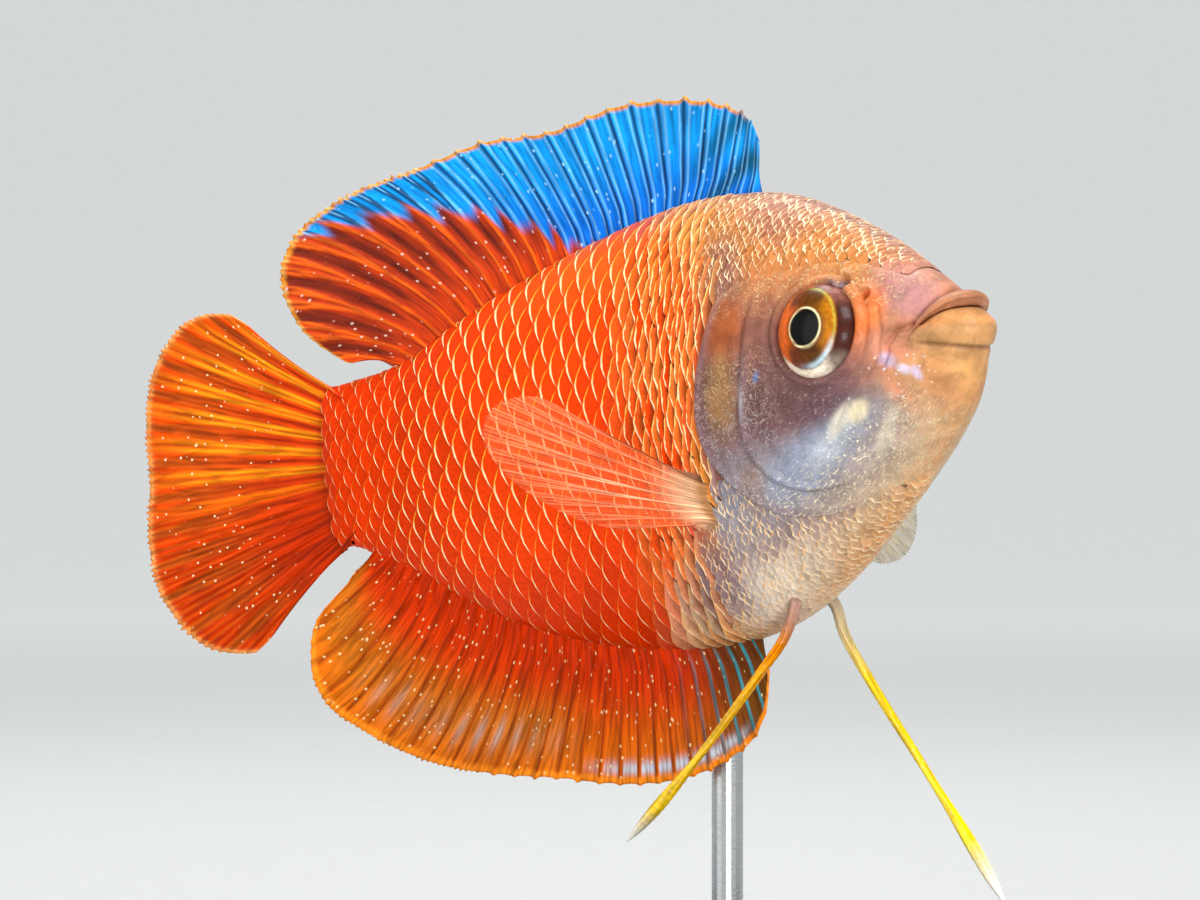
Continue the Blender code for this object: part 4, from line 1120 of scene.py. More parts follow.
@dataclass
class FlankMap:
    """The flank laid flat: the world point and normal for a ring and a distance below the
    side line, so that plates can be cut to real sizes and bent onto the body."""

    form: BodyForm
    rings: tuple[float, float, int] = (2.6, 13.5, 437)
    reach: float = 24.0
    steps: int = 481
    # Past the last ring the map runs on over the tail fin's root: millimetres for each ring, and
    # how fast width and height draw in with the square of the millimetres
    last_ring: float = 13.0
    ring_length: float = 5.0
    draw_in: tuple[float, float] = (0.16, 0.012)
    degrees: Array = field(init=False)
    points: Array = field(init=False)

    def __post_init__(self) -> None:
        """Adds up the girth of each ring, then reads it at even distances."""
        ring = np.linspace(*self.rings)
        turn = np.linspace(-60.0, 240.0, 601)
        line = self.form.skin(np.minimum(ring, self.last_ring)[:, None], turn[None, :])
        girth = np.cumsum(np.linalg.norm(np.diff(line, axis=1), axis=-1), axis=1)
        girth = np.concatenate([np.zeros((len(ring), 1)), girth], axis=1)
        girth -= girth[:, np.argmin(np.abs(turn - 90.0))][:, None]
        low = np.linspace(-self.reach, self.reach, self.steps)
        self.degrees = np.array([np.interp(low, row, turn) for row in girth])
        self.points = self.form.skin(ring[:, None], self.degrees)
        past = np.maximum(ring - self.last_ring, 0.0)[:, None] * self.ring_length
        self.points[..., 0] += past
        for axis, rate in enumerate(self.draw_in, start=1):
            self.points[..., axis] *= 1.0 - rate * past ** 2

    def read(self, table: Array, ring: Array, low: Array) -> Array:
        """Value of a table between its rows and columns, straight along both."""
        u = (np.asarray(ring) - self.rings[0]) / (self.rings[1] - self.rings[0])
        u = np.clip(u * (self.rings[2] - 1), 0, self.rings[2] - 1.001)
        v = (np.asarray(low) / self.reach + 1) / 2 * (self.steps - 1)
        v = np.clip(v, 0, self.steps - 1.001)
        i, j = u.astype(int), v.astype(int)
        fu, fv = u - i, v - j
        if table.ndim == 3:
            fu, fv = fu[..., None], fv[..., None]
        return ((table[i, j] * (1 - fu) + table[i + 1, j] * fu) * (1 - fv)
                + (table[i, j + 1] * (1 - fu) + table[i + 1, j + 1] * fu) * fv)

    def rings_per_mm(self, ring: Array, low: Array) -> Array:
        """How many rings make one millimetre along the body here."""
        step = self.read(self.points, ring + 0.05, low) - self.read(self.points, ring - 0.05, low)
        return 0.1 / np.linalg.norm(step, axis=-1)


@dataclass
class ScaleCoat:
    """Overlapping scales of one side, each a thin closed plate bent onto the body.

    A plate runs from a root tucked under its neighbours to a rear edge 1 - |b|^e of the column's
    pitch, where b runs from -1 at its upper corner to 1 at its lower one, and e is 1.7 on the
    flank and 2.6 for the small plates.
    """

    form: BodyForm
    flat: FlankMap
    markings: Markings
    side: Side
    along: int = 7
    across: int = 7
    # Column pitch by t, in millimetres, and half the height of a plate, on the flank
    pitch_t: tuple[float, ...] = (18.0, 24.0, 30.0, 43.0, 56.0)
    pitch: tuple[float, ...] = (0.42, 0.5, 0.88, 0.9, 0.5)
    half_t: tuple[float, ...] = (18.0, 42.0, 56.0)
    half_height: tuple[float, ...] = (1.5, 1.5, 0.85)
    # First and last t of the flank's columns, and plates above and below the side line
    flank_span: tuple[float, float] = (16.0, 56.3)
    flank_rows: int = 12
    # The small scales of forehead, nape and breast
    small_span: tuple[float, float] = (2.92, 7.75)
    small_rows: int = 26
    small_pitch: float = 0.29
    small_half: float = 0.43
    root_share: float = 1.2
    tip_share: float = 0.12
    overlap: float = 1.04
    rise: float = 0.03
    sink: float = -0.06
    under: float = -0.04

    def flank_lattice(self) -> tuple[Array, Array, Array, Array]:
        """Sets the flank's plates out in columns, every second one half a plate lower.

        Returns:
            Ring, distance below the side line, pitch and half height of each plate.
        """
        stations = np.array(self.form.stations)
        t, rings, lows, pitches, halves = self.flank_span[0], [], [], [], []
        column = 0
        while t < self.flank_span[1]:
            pitch = float(np.interp(t, self.pitch_t, self.pitch))
            half = float(np.interp(t, self.half_t, self.half_height))
            ring = np.interp(t, stations[:, 3], stations[:, 0])
            ring += max(t - stations[-1, 3], 0.0) / self.flat.ring_length
            low = np.arange(-self.flank_rows, self.flank_rows + 1) + 0.5 * (column % 2)
            low = low * 2 * half
            rings.append(np.full(len(low), ring))
            lows.append(low)
            pitches.append(np.full(len(low), pitch))
            halves.append(np.full(len(low), half))
            t, column = t + pitch, column + 1
        ring, low, pitch, half = (np.concatenate(part) for part in (rings, lows, pitches, halves))
        down = self.flat.read(self.flat.degrees, ring, low)
        behind = ring - self.form.rim(down)
        keep = (behind > 0.02) & (down > -3.0) & (down < 183.0)
        keep &= ~((ring < 7.25) & (down < 52.0)) & ~((ring < 7.6) & (down > 113.0))
        return ring[keep], low[keep], pitch[keep], half[keep]

    def small_lattice(self) -> tuple[Array, Array, Array, Array]:
        """Sets out the small plates of forehead, nape and breast.

        Returns:
            The same facts as flank_lattice gives.
        """
        columns, ring = [], self.small_span[0]
        while ring < self.small_span[1]:
            columns.append(ring)
            ring += self.small_pitch * 0.31 * (1.0 - 0.14 * (ring - 3.1) / 4.0)
        low = np.arange(-self.small_rows, self.small_rows + 1) * 2 * self.small_half
        offset = (np.arange(len(columns)) % 2)[:, None] * self.small_half
        ring, low = np.broadcast_arrays(np.array(columns)[:, None], low[None, :] + offset)
        ring, low = ring.ravel().copy(), low.ravel().copy()
        down = self.flat.read(self.flat.degrees, ring, low)
        behind = ring - self.form.rim(down)
        nape = (down > -3.0) & (down < nape_edge(ring) - 1.0) & (ring < 7.3)
        breast = (behind > -0.03) & (down > 114.0) & (down < 183.0) & (ring < 7.7)
        keep = nape | breast
        count = int(keep.sum())
        return (ring[keep], low[keep], np.full(count, self.small_pitch),
                np.full(count, self.small_half))

    def build(self, finish: Material) -> Piece:
        """Bends every plate onto the flank and joins them in one piece.

        Args:
            finish: The scales' material.

        Returns:
            The coat of this side.
        """
        draw = np.random.default_rng(SEED + self.side.value)
        ring, low, pitch, half = (np.concatenate(pair) for pair in
                                  zip(self.flank_lattice(), self.small_lattice()))
        count = len(ring)
        small = half < 0.6
        barky = (1.0 - ease(self.flat.read(self.flat.points, ring, low)[:, 0], 24.0, 30.0)) * ~small
        a = np.linspace(0.0, 1.0, self.along)[None, :, None]
        b = np.linspace(-1.0, 1.0, self.across)[None, None, :]
        per_mm = self.flat.rings_per_mm(ring, low)
        jitter = draw.normal(0.0, 1.0, (4, count))
        loose = 0.03 + 0.16 * small + 0.08 * barky
        back = ring + jitter[0] * loose * pitch * per_mm
        side_low = low + jitter[1] * loose * half
        edge = 1.0 - np.abs(b) ** (1.7 + 0.9 * small)[:, None, None]
        ripple = np.sin(b * 5.0 + jitter[2][:, None, None] * 2.0)
        ripple = ripple * (0.03 + 0.25 * barky + 0.22 * small)[:, None, None]
        length = self.root_share + edge * (1.0 + ripple) + self.tip_share
        p = (-self.root_share + a * length) * pitch[:, None, None]
        wide = (self.overlap + 0.24 * small + 0.12 * barky) * half
        q = b * wide[:, None, None] * (0.86 + 0.14 * a)
        at_ring = back[:, None, None] + p * per_mm[:, None, None]
        at_low = side_low[:, None, None] + q
        surface = self.flat.read(self.flat.points, at_ring, at_low)
        turn = self.flat.read(self.flat.degrees, at_ring, at_low)
        normal = self.form.outward(np.clip(at_ring, 0.3, 12.9), turn)
        lift = (1.0 + 2.6 * barky + 0.3 * jitter[3] + 0.2 * small)
        lift = (lift * (0.3 + 0.7 * self.settled(ring, low, small)))[:, None, None]
        sink = self.sink + 0.03 * (small - barky)[:, None, None]
        height = sink + (self.rise * lift - sink) * a - 0.02 * b * b
        top = surface + normal * height[..., None]
        under = (surface + normal * (self.sink + self.under))[:, self.along // 2, self.across // 2]
        points = np.concatenate([top.reshape(count, -1, 3), under[:, None, :]], axis=1)
        return self.joined(finish, points, (ring, low, a, b, small, barky, draw))

    def settled(self, ring: Array, low: Array, small: Array) -> Array:
        """1 in the coat, falling to 0 where the nape's small plates fade into bare skin."""
        down = self.flat.read(self.flat.degrees, ring, low)
        inside = ease(nape_edge(ring) - down, 1.0, 10.0) * ease(ring, 2.7, 3.7)
        return np.where(small & (down < 90.0), inside, 1.0)

    def joined(self, finish: Material, points: Array, facts: tuple) -> Piece:
        """Joins the plates: a grid on top of each, and a fan from its border underneath.

        Args:
            finish: The scales' material.
            points: Fish-frame points of each plate, its under point last.
            facts: Ring, distance below the side line, the grid's two parameters, whether the
                plate is small, how far it is like bark, and the source of random numbers.

        Returns:
            The coat of this side.
        """
        ring, low, a, b, small, barky, draw = facts
        count, each = len(ring), self.along * self.across + 1
        cells = grid_faces(self.along, self.across)
        fan = pole_fan(grid_border(self.along, self.across), each - 1)[:, ::-1]
        base = (np.arange(count) * each)[:, None, None]
        quads = (base + cells).reshape(-1, 4)
        fans = (base + fan).reshape(-1, 3)
        if self.side is Side.LEFT:
            points = points * [1.0, -1.0, 1.0]
        down = self.flat.read(self.flat.degrees, ring, low)
        roots = self.form.skin(np.minimum(ring, self.flat.last_ring), down)
        settled = self.settled(ring, low, small)
        numbers, colours = self.dressing(ring, down, roots, a, b, small, barky, settled, draw)
        spread = np.concatenate([np.broadcast_to(b, (1, self.along, self.across)).ravel(), [0.0]])
        run = np.concatenate([np.broadcast_to(a, (1, self.along, self.across)).ravel(), [0.0]])
        plate = np.tile(np.stack([spread * 0.5 + 0.5, run], axis=-1), (count, 1, 1))
        centre = np.stack([(ring - 2.6) / 11.0, down / 360.0 + 0.25], axis=-1)[:, None, :]
        bake = centre + (plate - 0.5) * 0.003
        maps = {"Plate": plate.reshape(-1, 2), "OFBake": np.clip(bake.reshape(-1, 2), 0.0, 1.0)}
        name = "scales_" + self.side.name.lower()
        world = self.form.place(points.reshape(-1, 3))
        return add_piece(name, world, [fans, quads], finish, numbers, colours, maps,
                         hidden_first=True)

    def dressing(self, ring: Array, down: Array, roots: Array, a: Array, b: Array, small: Array,
                 barky: Array, settled: Array, draw: np.random.Generator) -> tuple[Layers, Layers]:
        """Colours of plates, rims and painted shade on the covered roots, and how strong and how
        ragged each rim is.

        Args:
            ring: Place of each plate along the stations.
            down: Degrees from the back.
            roots: Fish-frame points of the plates.
            a: The grid's parameter along a plate, 0 to 1.
            b: The one across it, -1 to 1.
            small: Whether it is a small plate.
            barky: How far it is like the rough brown plates behind the head.
            settled: 1 in the coat, 0 where it fades into bare skin.
            draw: Source of random numbers.

        Returns:
            The numbers and the colours to store.
        """
        count = len(ring)
        t, z = roots[:, 0], roots[:, 2]
        tint = self.markings.tint(ring, down, roots)
        uneven = np.where(small, 0.1, 0.06) + 0.08 * barky
        tint = tint * (1.0 + uneven * draw.normal(0.0, 1.0, count))[:, None]
        on_flank = ease(t, 20.0, 24.0)
        tint = layered(tint, ("#FF9C40", 0.55 * barky * draw.random(count)))
        rows = np.broadcast_to(a, (count, self.along, self.across))
        lows = np.broadcast_to(b, rows.shape)
        # Painted shade: each plate darker towards its root, under the edge of the plate in front;
        # strongest on the rough plates behind the head and on the small plates
        tucked = 1.0 - ease(rows, 0.5, 0.8)
        darker = 0.06 + 0.6 * barky + (0.34 - 0.22 * ease(-z, 2.0, 6.0)) * small * settled
        full = layered(tint[:, None, None, :] + 0 * rows[..., None],
                       (self.markings.scale_shade_brown, tucked * darker[:, None, None]))
        upper = layered(all_over("#FFB030", tint), ("#FFC468", barky), ("#E8B47C", small))
        lower = layered(all_over("#FFE8B0", tint), ("#FFDCA8", barky), ("#F4DCB4", small))
        rim = blend(upper[:, None, None, :] + 0 * rows[..., None], lower[:, None, None, :],
                    ease(lows, -0.35, 0.25))
        bright = ease(lows, -0.45, 0.05) * (1.0 - ease(lows, 0.45, 0.85))
        strength = np.maximum(bright, 0.55 * (1.0 - ease(np.abs(lows), 0.8, 1.0)))
        strength = np.where(small[:, None, None], np.maximum(strength, 0.5) + 0.35, strength)
        fade = 1.0 - 0.6 * np.maximum(ease(-z, 3.0, 11.0), ease(t, 44.0, 54.0)) * on_flank
        worn = fade * np.where(small, 0.55 + 0.45 * draw.random(count), 0.8 + 0.2 * draw.random(count))
        share = strength * (worn * (0.25 + 0.75 * settled))[:, None, None]
        ragged = np.where(small, 0.75, 0.06 + 0.3 * barky)
        ragged = np.broadcast_to(ragged[:, None, None], rows.shape)

        def pad(values: Array) -> Array:
            """Adds the value of the plate's under point."""
            flat = values.reshape(count, self.along * self.across, -1)
            padded = np.concatenate([flat, flat[:, :1]], axis=1)
            return padded.reshape(count * (flat.shape[1] + 1), -1)

        numbers = {"RimShare": pad(share), "Ragged": pad(ragged)}
        return numbers, {"Tint": pad(full), "Rim": pad(rim)}


@dataclass
class Eye:
    """One eye: a smooth dome, its pupil set a little forward, painted in rings."""

    form: BodyForm
    side: Side
    depth: float = 2.1
    sunk: float = 0.85
    around: int = 120
    rings: int = 84
    pupil: tuple[float, float] = (1.06, 1.14)
    pupil_at: tuple[float, float] = (-0.06, -0.02)
    iris: tuple[float, float] = (2.18, 2.5)
    iris_at: tuple[float, float] = (0.1, 0.06)

    def build(self, finish: Material) -> Piece:
        """A half-ball over the socket and a flat half-ball behind it, closed at both poles.

        Args:
            finish: The eye's material.

        Returns:
            The eyeball.
        """
        centre, axes = self.form.frame_at(*self.form.eye_at, self.side)
        centre = centre - axes[2] * self.sunk
        polar = np.linspace(0.0, math.pi, self.rings + 2)[1:-1, None]
        turn = (np.arange(self.around) * math.tau / self.around)[None, :]
        x = np.sin(polar) * np.cos(turn) * self.form.eye_radius
        y = np.sin(polar) * np.sin(turn) * self.form.eye_radius
        z = np.cos(polar) * self.depth + 0 * turn
        local = np.stack([x, y, z], axis=-1).reshape(-1, 3)
        poles = np.array([[0.0, 0.0, self.depth], [0.0, 0.0, -self.depth]])
        local = np.concatenate([local, poles])
        points = centre + local @ axes
        name = "eye_" + self.side.name.lower()
        faces = capped_tube(self.rings, self.around)
        return add_piece(name + "_ball", self.form.place(points), faces, finish,
                         colours={"Tint": self.paint(local)}, replaces=(name,))

    def paint(self, local: Array) -> Array:
        """Rings of colour round the pupil, and how they change from front to rear.

        Args:
            local: Points of the ball: back, up and out from its centre.

        Returns:
            A linear colour for each point.
        """
        x, y = local[:, 0], local[:, 1]
        pupil, iris = (np.hypot((x - at[0]) / half[0], (y - at[1]) / half[1]) for at, half in
                       ((self.pupil_at, self.pupil), (self.iris_at, self.iris)))
        out = np.hypot(x, y) / self.form.eye_radius
        rear, low = ease(x, -0.6, 1.0), ease(-y, 0.3, 1.7)
        upright = ease(np.abs(y - 0.1), 0.75, 1.5) * (1.0 - ease(np.abs(x - 0.1), 0.9, 1.7))
        colour = layered(
            all_over("#B06A10", local),
            ("#E06008", rear),
            ("#2A180A", 0.82 * upright),
            ("#3A1A08", 0.6 * (1 - ease(pupil, 1.15, 1.5))),
            ("#C8C850", 0.6 * bell(iris, 0.96, 0.025) * (1 - rear) * (1 - low)),
            ("#C8E4F0", 0.8 * bell(iris, 0.95, 0.06) * (1 - rear) * low))
        rim = layered(
            all_over("#40180E", local),
            ("#8A5448", ease(y, 0.9, 2.2)),
            ("#C8642C", 0.8 * rear),
            ("#FFECD4", ease(-y, 1.2, 2.1) * (1.0 - 0.8 * ease(-x, 0.7, 1.7))))
        return layered(
            blend(colour, rim, ease(iris, 0.98, 1.04)),
            ("#4A2624", 0.8 * ease(out, 0.92, 0.99)),
            ("#FFF0B8", bell(pupil, 1.05, 0.045)),
            ("#020203", 1.0 - ease(pupil, 0.96, 1.02)))


def off_ray(k: Array) -> Array:
    """How far k is from the nearest ray, 0 to a half."""
    return np.abs(k - np.round(k))


@dataclass
class RayedFin:
    """A fin: a closed thin sheet between a root line and a margin, ridged by its rays.

    Point (k, s) lies at root(k) + s (tip(k) - root(k)) + 4 s (1 - s) bow(k), moved across by a
    wave. Its half thickness is the web's plus a bell over each ray, which forks twice.
    """

    form: BodyForm
    piece: str
    node: str
    slot: str
    spines: int
    rays: int
    steps: int = 20
    rows: int = 64
    web_half: float = 0.06
    ray_half: float = 0.17
    root_half: float = 0.5
    fringe: float = 0.2
    notch: float = 0.05
    teeth: float = 4.0
    corner: float = 1.2
    round_rays: float = 1.0
    dive: float = 0.0
    wave: float = 0.3
    wave_turn: float = 0.55
    sunk: float = 1.3
    # Web past the outer rays, in rays, and the millimetres between rays on the texture map
    overhang: float = 0.3
    ray_gap: float = 1.4
    forks: tuple[float, float] = (0.32, 0.66)

    @property
    def last(self) -> int:
        """Number of the last ray, counted from 0."""
        return self.spines + self.rays - 1

    def root(self, k: Array) -> Array:
        """Fish-frame point where ray k leaves the body."""
        raise NotImplementedError

    def tip(self, k: Array) -> Array:
        """Fish-frame point of the margin at ray k."""
        raise NotImplementedError

    def bow(self, k: Array) -> Array:
        """How far the middle of ray k is bent off its straight line."""
        return np.zeros((len(k), 3))

    def across(self) -> Array:
        """The way that the sheet faces."""
        return np.array([0.0, 1.0, 0.0])

    def paint(self, k: Array, s: Array, ray: Array, point: Array) -> Layers:
        """Tint, SpeckTint, Speck and Solid of every point."""
        raise NotImplementedError

    def ray_ridge(self, k: Array, s: Array) -> Array:
        """1 on the crest of a ray or its branches and 0 on the web between them."""
        off = off_ray(k)
        soft = np.round(k) >= self.spines
        first = 0.2 * ease(s, self.forks[0], 1.0)
        second = 0.09 * ease(s, self.forks[1], 1.0)
        branch = np.where(soft, np.abs(np.abs(off - first) - second), off)
        width = np.where(soft, 0.105 - 0.035 * s, 0.12 - 0.05 * s)
        return bell(branch, 0.0, width)

    def sheet(self) -> tuple[Array, Array, Array, Array]:
        """Lays the grid from the sunk root line to the toothed margin.

        Returns:
            Ray number, share of length, ridge and middle point of every point of the grid.
        """
        count = int((self.last + 2 * self.overhang) * self.steps) + 1
        k = np.linspace(-self.overhang, self.last + self.overhang, count)
        share = np.linspace(0.0, 1.0, self.rows) ** 0.92
        inside = np.clip(k, 0.0, self.last)
        ends = self.root(np.array([self.last / 2 - 0.5, self.last / 2 + 0.5]))
        spill = (ends[1] - ends[0]) * 0.4 * (k - inside)[:, None]
        roots, tips = self.root(inside) + spill, self.tip(inside) + spill
        reach = unit(tips - roots)
        off = off_ray(k)
        spiny = np.round(k) < self.spines
        teeth = 1.0 - np.abs(np.sin(math.pi * k * self.teeth))
        spikes = self.fringe * bell(off, 0.0, 0.13) - self.notch * bell(off, 0.5, 0.3)
        past = np.where(spiny, spikes, self.fringe * teeth)
        from_end = np.minimum(k, self.last - k)
        uneven = 0.6 + 0.4 * np.sin(k * 5.3) * np.sin(k * 1.7)
        past = past * uneven * ease(from_end, -0.1, 0.8)
        near = (from_end + self.overhang) / (self.round_rays + self.overhang)
        near = 1.0 - np.clip(near, 0.0, 1.0)
        past -= self.corner * (1.0 - np.sqrt(1.0 - near ** 2))
        tips = tips + reach * past[:, None]
        roots = roots - reach * self.sunk
        at = share[:, None, None]
        grid = roots + (tips - roots) * at
        bent = 4.0 * at * (1.0 - at) - self.dive * (1 - ease(at, 0.0, 0.2))
        grid = grid + self.bow(inside) * bent
        ripple = self.wave * np.sin(inside * self.wave_turn) * share[:, None] ** 1.5
        grid = grid + ripple[..., None] * self.across()
        kk, ss = np.broadcast_to(k, grid.shape[:2]), np.broadcast_to(share[:, None], grid.shape[:2])
        return kk, ss, self.ray_ridge(kk, ss), grid

    def build(self, finish: Material) -> Piece:
        """Thickens the sheet to both sides and closes it round its border.

        Args:
            finish: The fin's material.

        Returns:
            The fin.
        """
        k, s, ray, grid = self.sheet()
        length = np.linalg.norm(grid[-1] - grid[0], axis=-1)[None, :]
        fleshy = 1.0 - ease(s * length, self.sunk * 0.6, self.sunk + 1.6)
        half = self.web_half + (self.ray_half - self.web_half) * ray * (1.0 - 0.45 * s)
        half = half + (self.root_half - self.web_half) * fleshy * (0.75 + 0.25 * ray)
        edge = 1.0 - 0.75 * ease(s, 0.97, 1.0)
        normal = self.sheet_normal(grid)
        offset = (half * edge)[..., None] * normal
        rows, columns = k.shape
        count = rows * columns
        points = np.concatenate([(grid + offset).reshape(-1, 3), (grid - offset).reshape(-1, 3)])
        front = grid_faces(rows, columns)
        border = grid_border(rows, columns)
        after = np.roll(border, -1)
        wall = np.stack([after, border, border + count, after + count], axis=-1)
        faces = [np.concatenate([front, front[:, ::-1] + count, wall])]
        double = [np.tile(part.ravel(), 2) for part in (k, s, ray)]
        painted = self.paint(*double, points)
        lengths = np.tile(np.broadcast_to(length, k.shape).ravel(), 2)
        run = np.stack([double[0] * self.ray_gap, double[1] * lengths], axis=-1) / 100.0
        bake = np.stack([(double[0] + self.overhang) / (self.last + 2 * self.overhang),
                         double[1] * 0.49], axis=-1)
        bake[count:, 1] += 0.51
        numbers = {"Ray": double[2] * (1.0 if self.rays else 0.0), "Speck": painted["Speck"],
                   "Solid": painted["Solid"]}
        colours = {"Tint": painted["Tint"], "SpeckTint": painted["SpeckTint"]}
        world = self.form.place(points)
        return add_piece(self.piece, world, faces, finish, numbers, colours,
                         {"OFBake": bake, "Run": run}, (self.node,))

    def sheet_normal(self, grid: Array) -> Array:
        """Unit normals of the middle sheet, from the steps along and across it."""
        along = np.gradient(grid, axis=0)
        over = np.gradient(grid, axis=1)
        normal = unit(np.cross(along, over))
        return normal * np.sign(np.sum(normal * self.across(), axis=-1, keepdims=True))


def margin_point(table: Table, at: Array) -> Array:
    """Fish-frame point on a fin's margin, on smooth curves through the table's points."""
    keys = [row[0] for row in table]
    t = smooth(keys, [row[1] for row in table], at)
    return np.stack([t, 0 * t, smooth(keys, [row[2] for row in table], at)], axis=-1)


@dataclass
class MidlineFin(RayedFin):
    """A fin rooted along the back line (0 degrees) or the belly line (180)."""

    line: float = 0.0
    base: tuple[float, float] = (0.0, 0.0)
    outline: Table = ()

    def root(self, k: Array) -> Array:
        """The first to the last ray's root, even along its line."""
        t = self.base[0] + (self.base[1] - self.base[0]) * k / self.last
        return np.stack([t, 0 * t, self.form.profile_z(t, self.line)], axis=-1)

    def tip(self, k: Array) -> Array:
        """Point of the margin."""
        return margin_point(self.outline, k)


@dataclass
class DorsalFin(MidlineFin):
    """The long azure fin of the back, with its orange rear lobe and golden margin."""

    piece: str = "dorsal_fin_web"
    node: str = "dorsal_fin"
    slot: str = "dorsal_web"
    fringe: float = 0.34
    spines: int = 17
    rays: int = 9
    base: tuple[float, float] = (18.6, 50.6)
    outline: Table = (
        (0.0, 17.9, 16.3), (2.0, 19.5, 17.7), (4.0, 22.3, 18.9), (7.0, 28.7, 19.9),
        (11.0, 36.3, 19.3), (14.0, 42.2, 19.6), (17.0, 48.2, 18.6), (19.0, 53.1, 17.8),
        (21.0, 57.7, 15.7), (22.5, 59.2, 13.0), (24.0, 57.9, 9.3), (25.0, 55.4, 7.0),
    )
    # Lower edge of the blue, by ray: share of the ray's length
    blue_from: Table = ((0.0, -0.3), (8.0, -0.2), (12.0, 0.1), (14.0, 0.3), (16.0, 0.5),
                        (18.0, 0.66), (20.0, 0.82), (22.0, 1.1), (25.0, 1.3))

    def bow(self, k: Array) -> Array:
        """Rear rays bend up and back."""
        lean = ease(k, 8.0, 20.0) * (1.0 - 0.6 * ease(k, 22.0, 25.0))
        return np.stack([-0.2 * lean, 0 * lean, 0.9 * lean], axis=-1)

    def paint(self, k: Array, s: Array, ray: Array, point: Array) -> Layers:
        """Azure above the stored line, orange rays over dark brown below it, gold at the edge.

        Args:
            k: Ray number of each point.
            s: Share of the ray's length.
            ray: The ridge, 0 to 1.
            point: Fish-frame points.

        Returns:
            Tint, SpeckTint, Speck and Solid of each point.
        """
        keys = [row[0] for row in self.blue_from]
        edge = np.interp(k, keys, [row[1] for row in self.blue_from])
        edge = edge + 0.05 * np.sin(k * math.tau) + 0.03 * np.sin(k * 9.1)
        crest, off = ease(ray, 0.35, 0.8), off_ray(k)
        green = 0.85 * (1 - ease(k, 1.0, 7.5)) * (0.5 + 0.5 * np.sin(s * 11.0 + k * 2.0))
        azure = layered(
            all_over("#0670E0", point),
            ("#0898F0", ease(s, 0.2, 0.8)),
            ("#064A5E", green),
            ("#8AD4FF", 0.62 * bell(off, 0.2, 0.05)),
            ("#082A52", 0.85 * crest))
        rust = layered(
            all_over("#CC3C06", point),
            ("#521806", 0.85 * bell(off, 0.5, 0.26) * ease(s, 0.12, 0.4)),
            ("#F0640C", 0.8 * crest))
        colour = blend(rust, azure, ease(s - edge, -0.05, 0.07))
        gold = layered(all_over("#E08A28", point), ("#F2B860", crest))
        colour = blend(colour, gold, ease(s, 0.955, 0.985) * ease(k, 1.0, 3.0))
        speck = np.where(s > edge, 0.65, 0.6) * ease(s, 0.05, 0.15)
        tint = layered(all_over("#FFE0C8", point), ("#A8DCFF", s > edge))
        return {"Tint": colour, "SpeckTint": tint, "Speck": speck, "Solid": np.ones_like(s)}


@dataclass
class AnalFin(MidlineFin):
    """The long flame-coloured fin under the body, dark in front, with pale dots."""

    piece: str = "anal_fin_web"
    node: str = "anal_fin"
    slot: str = "anal_web"
    spines: int = 17
    line: float = 180.0
    rays: int = 11
    wave: float = -0.3
    base: tuple[float, float] = (22.2, 53.6)
    outline: Table = (
        (0.0, 21.3, -17.4), (1.0, 21.9, -19.4), (2.0, 22.8, -20.7), (4.0, 25.6, -22.1),
        (7.0, 30.6, -23.0), (10.0, 35.3, -22.9), (13.0, 40.2, -22.1), (16.0, 45.4, -21.4),
        (19.0, 51.0, -20.1), (22.0, 56.0, -17.6), (24.0, 58.7, -15.2), (25.3, 59.3, -12.6),
        (26.3, 58.4, -9.8), (27.0, 56.2, -8.0),
    )

    def bow(self, k: Array) -> Array:
        """Rear rays bend down and back."""
        lean = ease(k, 6.0, 20.0) * (1.0 - ease(k, 23.0, 27.0))
        return np.stack([-0.2 * lean, 0 * lean, -0.6 * lean], axis=-1)

    def paint(self, k: Array, s: Array, ray: Array, point: Array) -> Layers:
        """Flame web, ochre rays, dark brown front with turquoise streaks, blue-white tabs.

        Args:
            k: Ray number of each point.
            s: Share of the ray's length.
            ray: The ridge, 0 to 1.
            point: Fish-frame points.

        Returns:
            Tint, SpeckTint, Speck and Solid of each point.
        """
        off = off_ray(k)
        crest, line = ease(ray, 0.04, 0.4), bell(off, 0.0, 0.09)
        cloud = bell(s, 0.74, 0.1) * bell(off, 0.5, 0.24) * ease(k, 12.0, 14.0)
        cloud = cloud * (1.0 - ease(k, 21.0, 24.0)) * (0.55 + 0.45 * np.sin(k * 7.3))
        front = 1.0 - ease(k, 1.5, 7.0)
        tabs = bell(s, 0.9, 0.045) * ease(k, 1.5, 4.0) * (1 - ease(k, 9.0, 12.5))
        colour = layered(
            all_over("#D03000", point),
            ("#DC680A", ease(s, 0.3, 0.9)),
            ("#B8781C", 0.5 * bell(s, 0.66, 0.2) * ease(k, 11.0, 15.0)),
            ("#B4B0AC", 0.6 * cloud),
            ("#8C2804", 0.75 * line * ease(s, 0.12, 0.35)),
            ("#46340E", front * 0.85),
            ("#2A9AA8", 0.8 * front * crest * ease(s, 0.1, 0.3)),
            ("#C6D8E8", 0.85 * tabs * (off > 0.14)),
            ("#FF8C1C", ease(s, 0.93, 0.97)))
        pale = all_over("#FFE6A8", point)
        return {"Tint": colour, "SpeckTint": pale, "Speck": 0.7 * ease(s, 0.03, 0.1),
                "Solid": np.ones_like(s)}


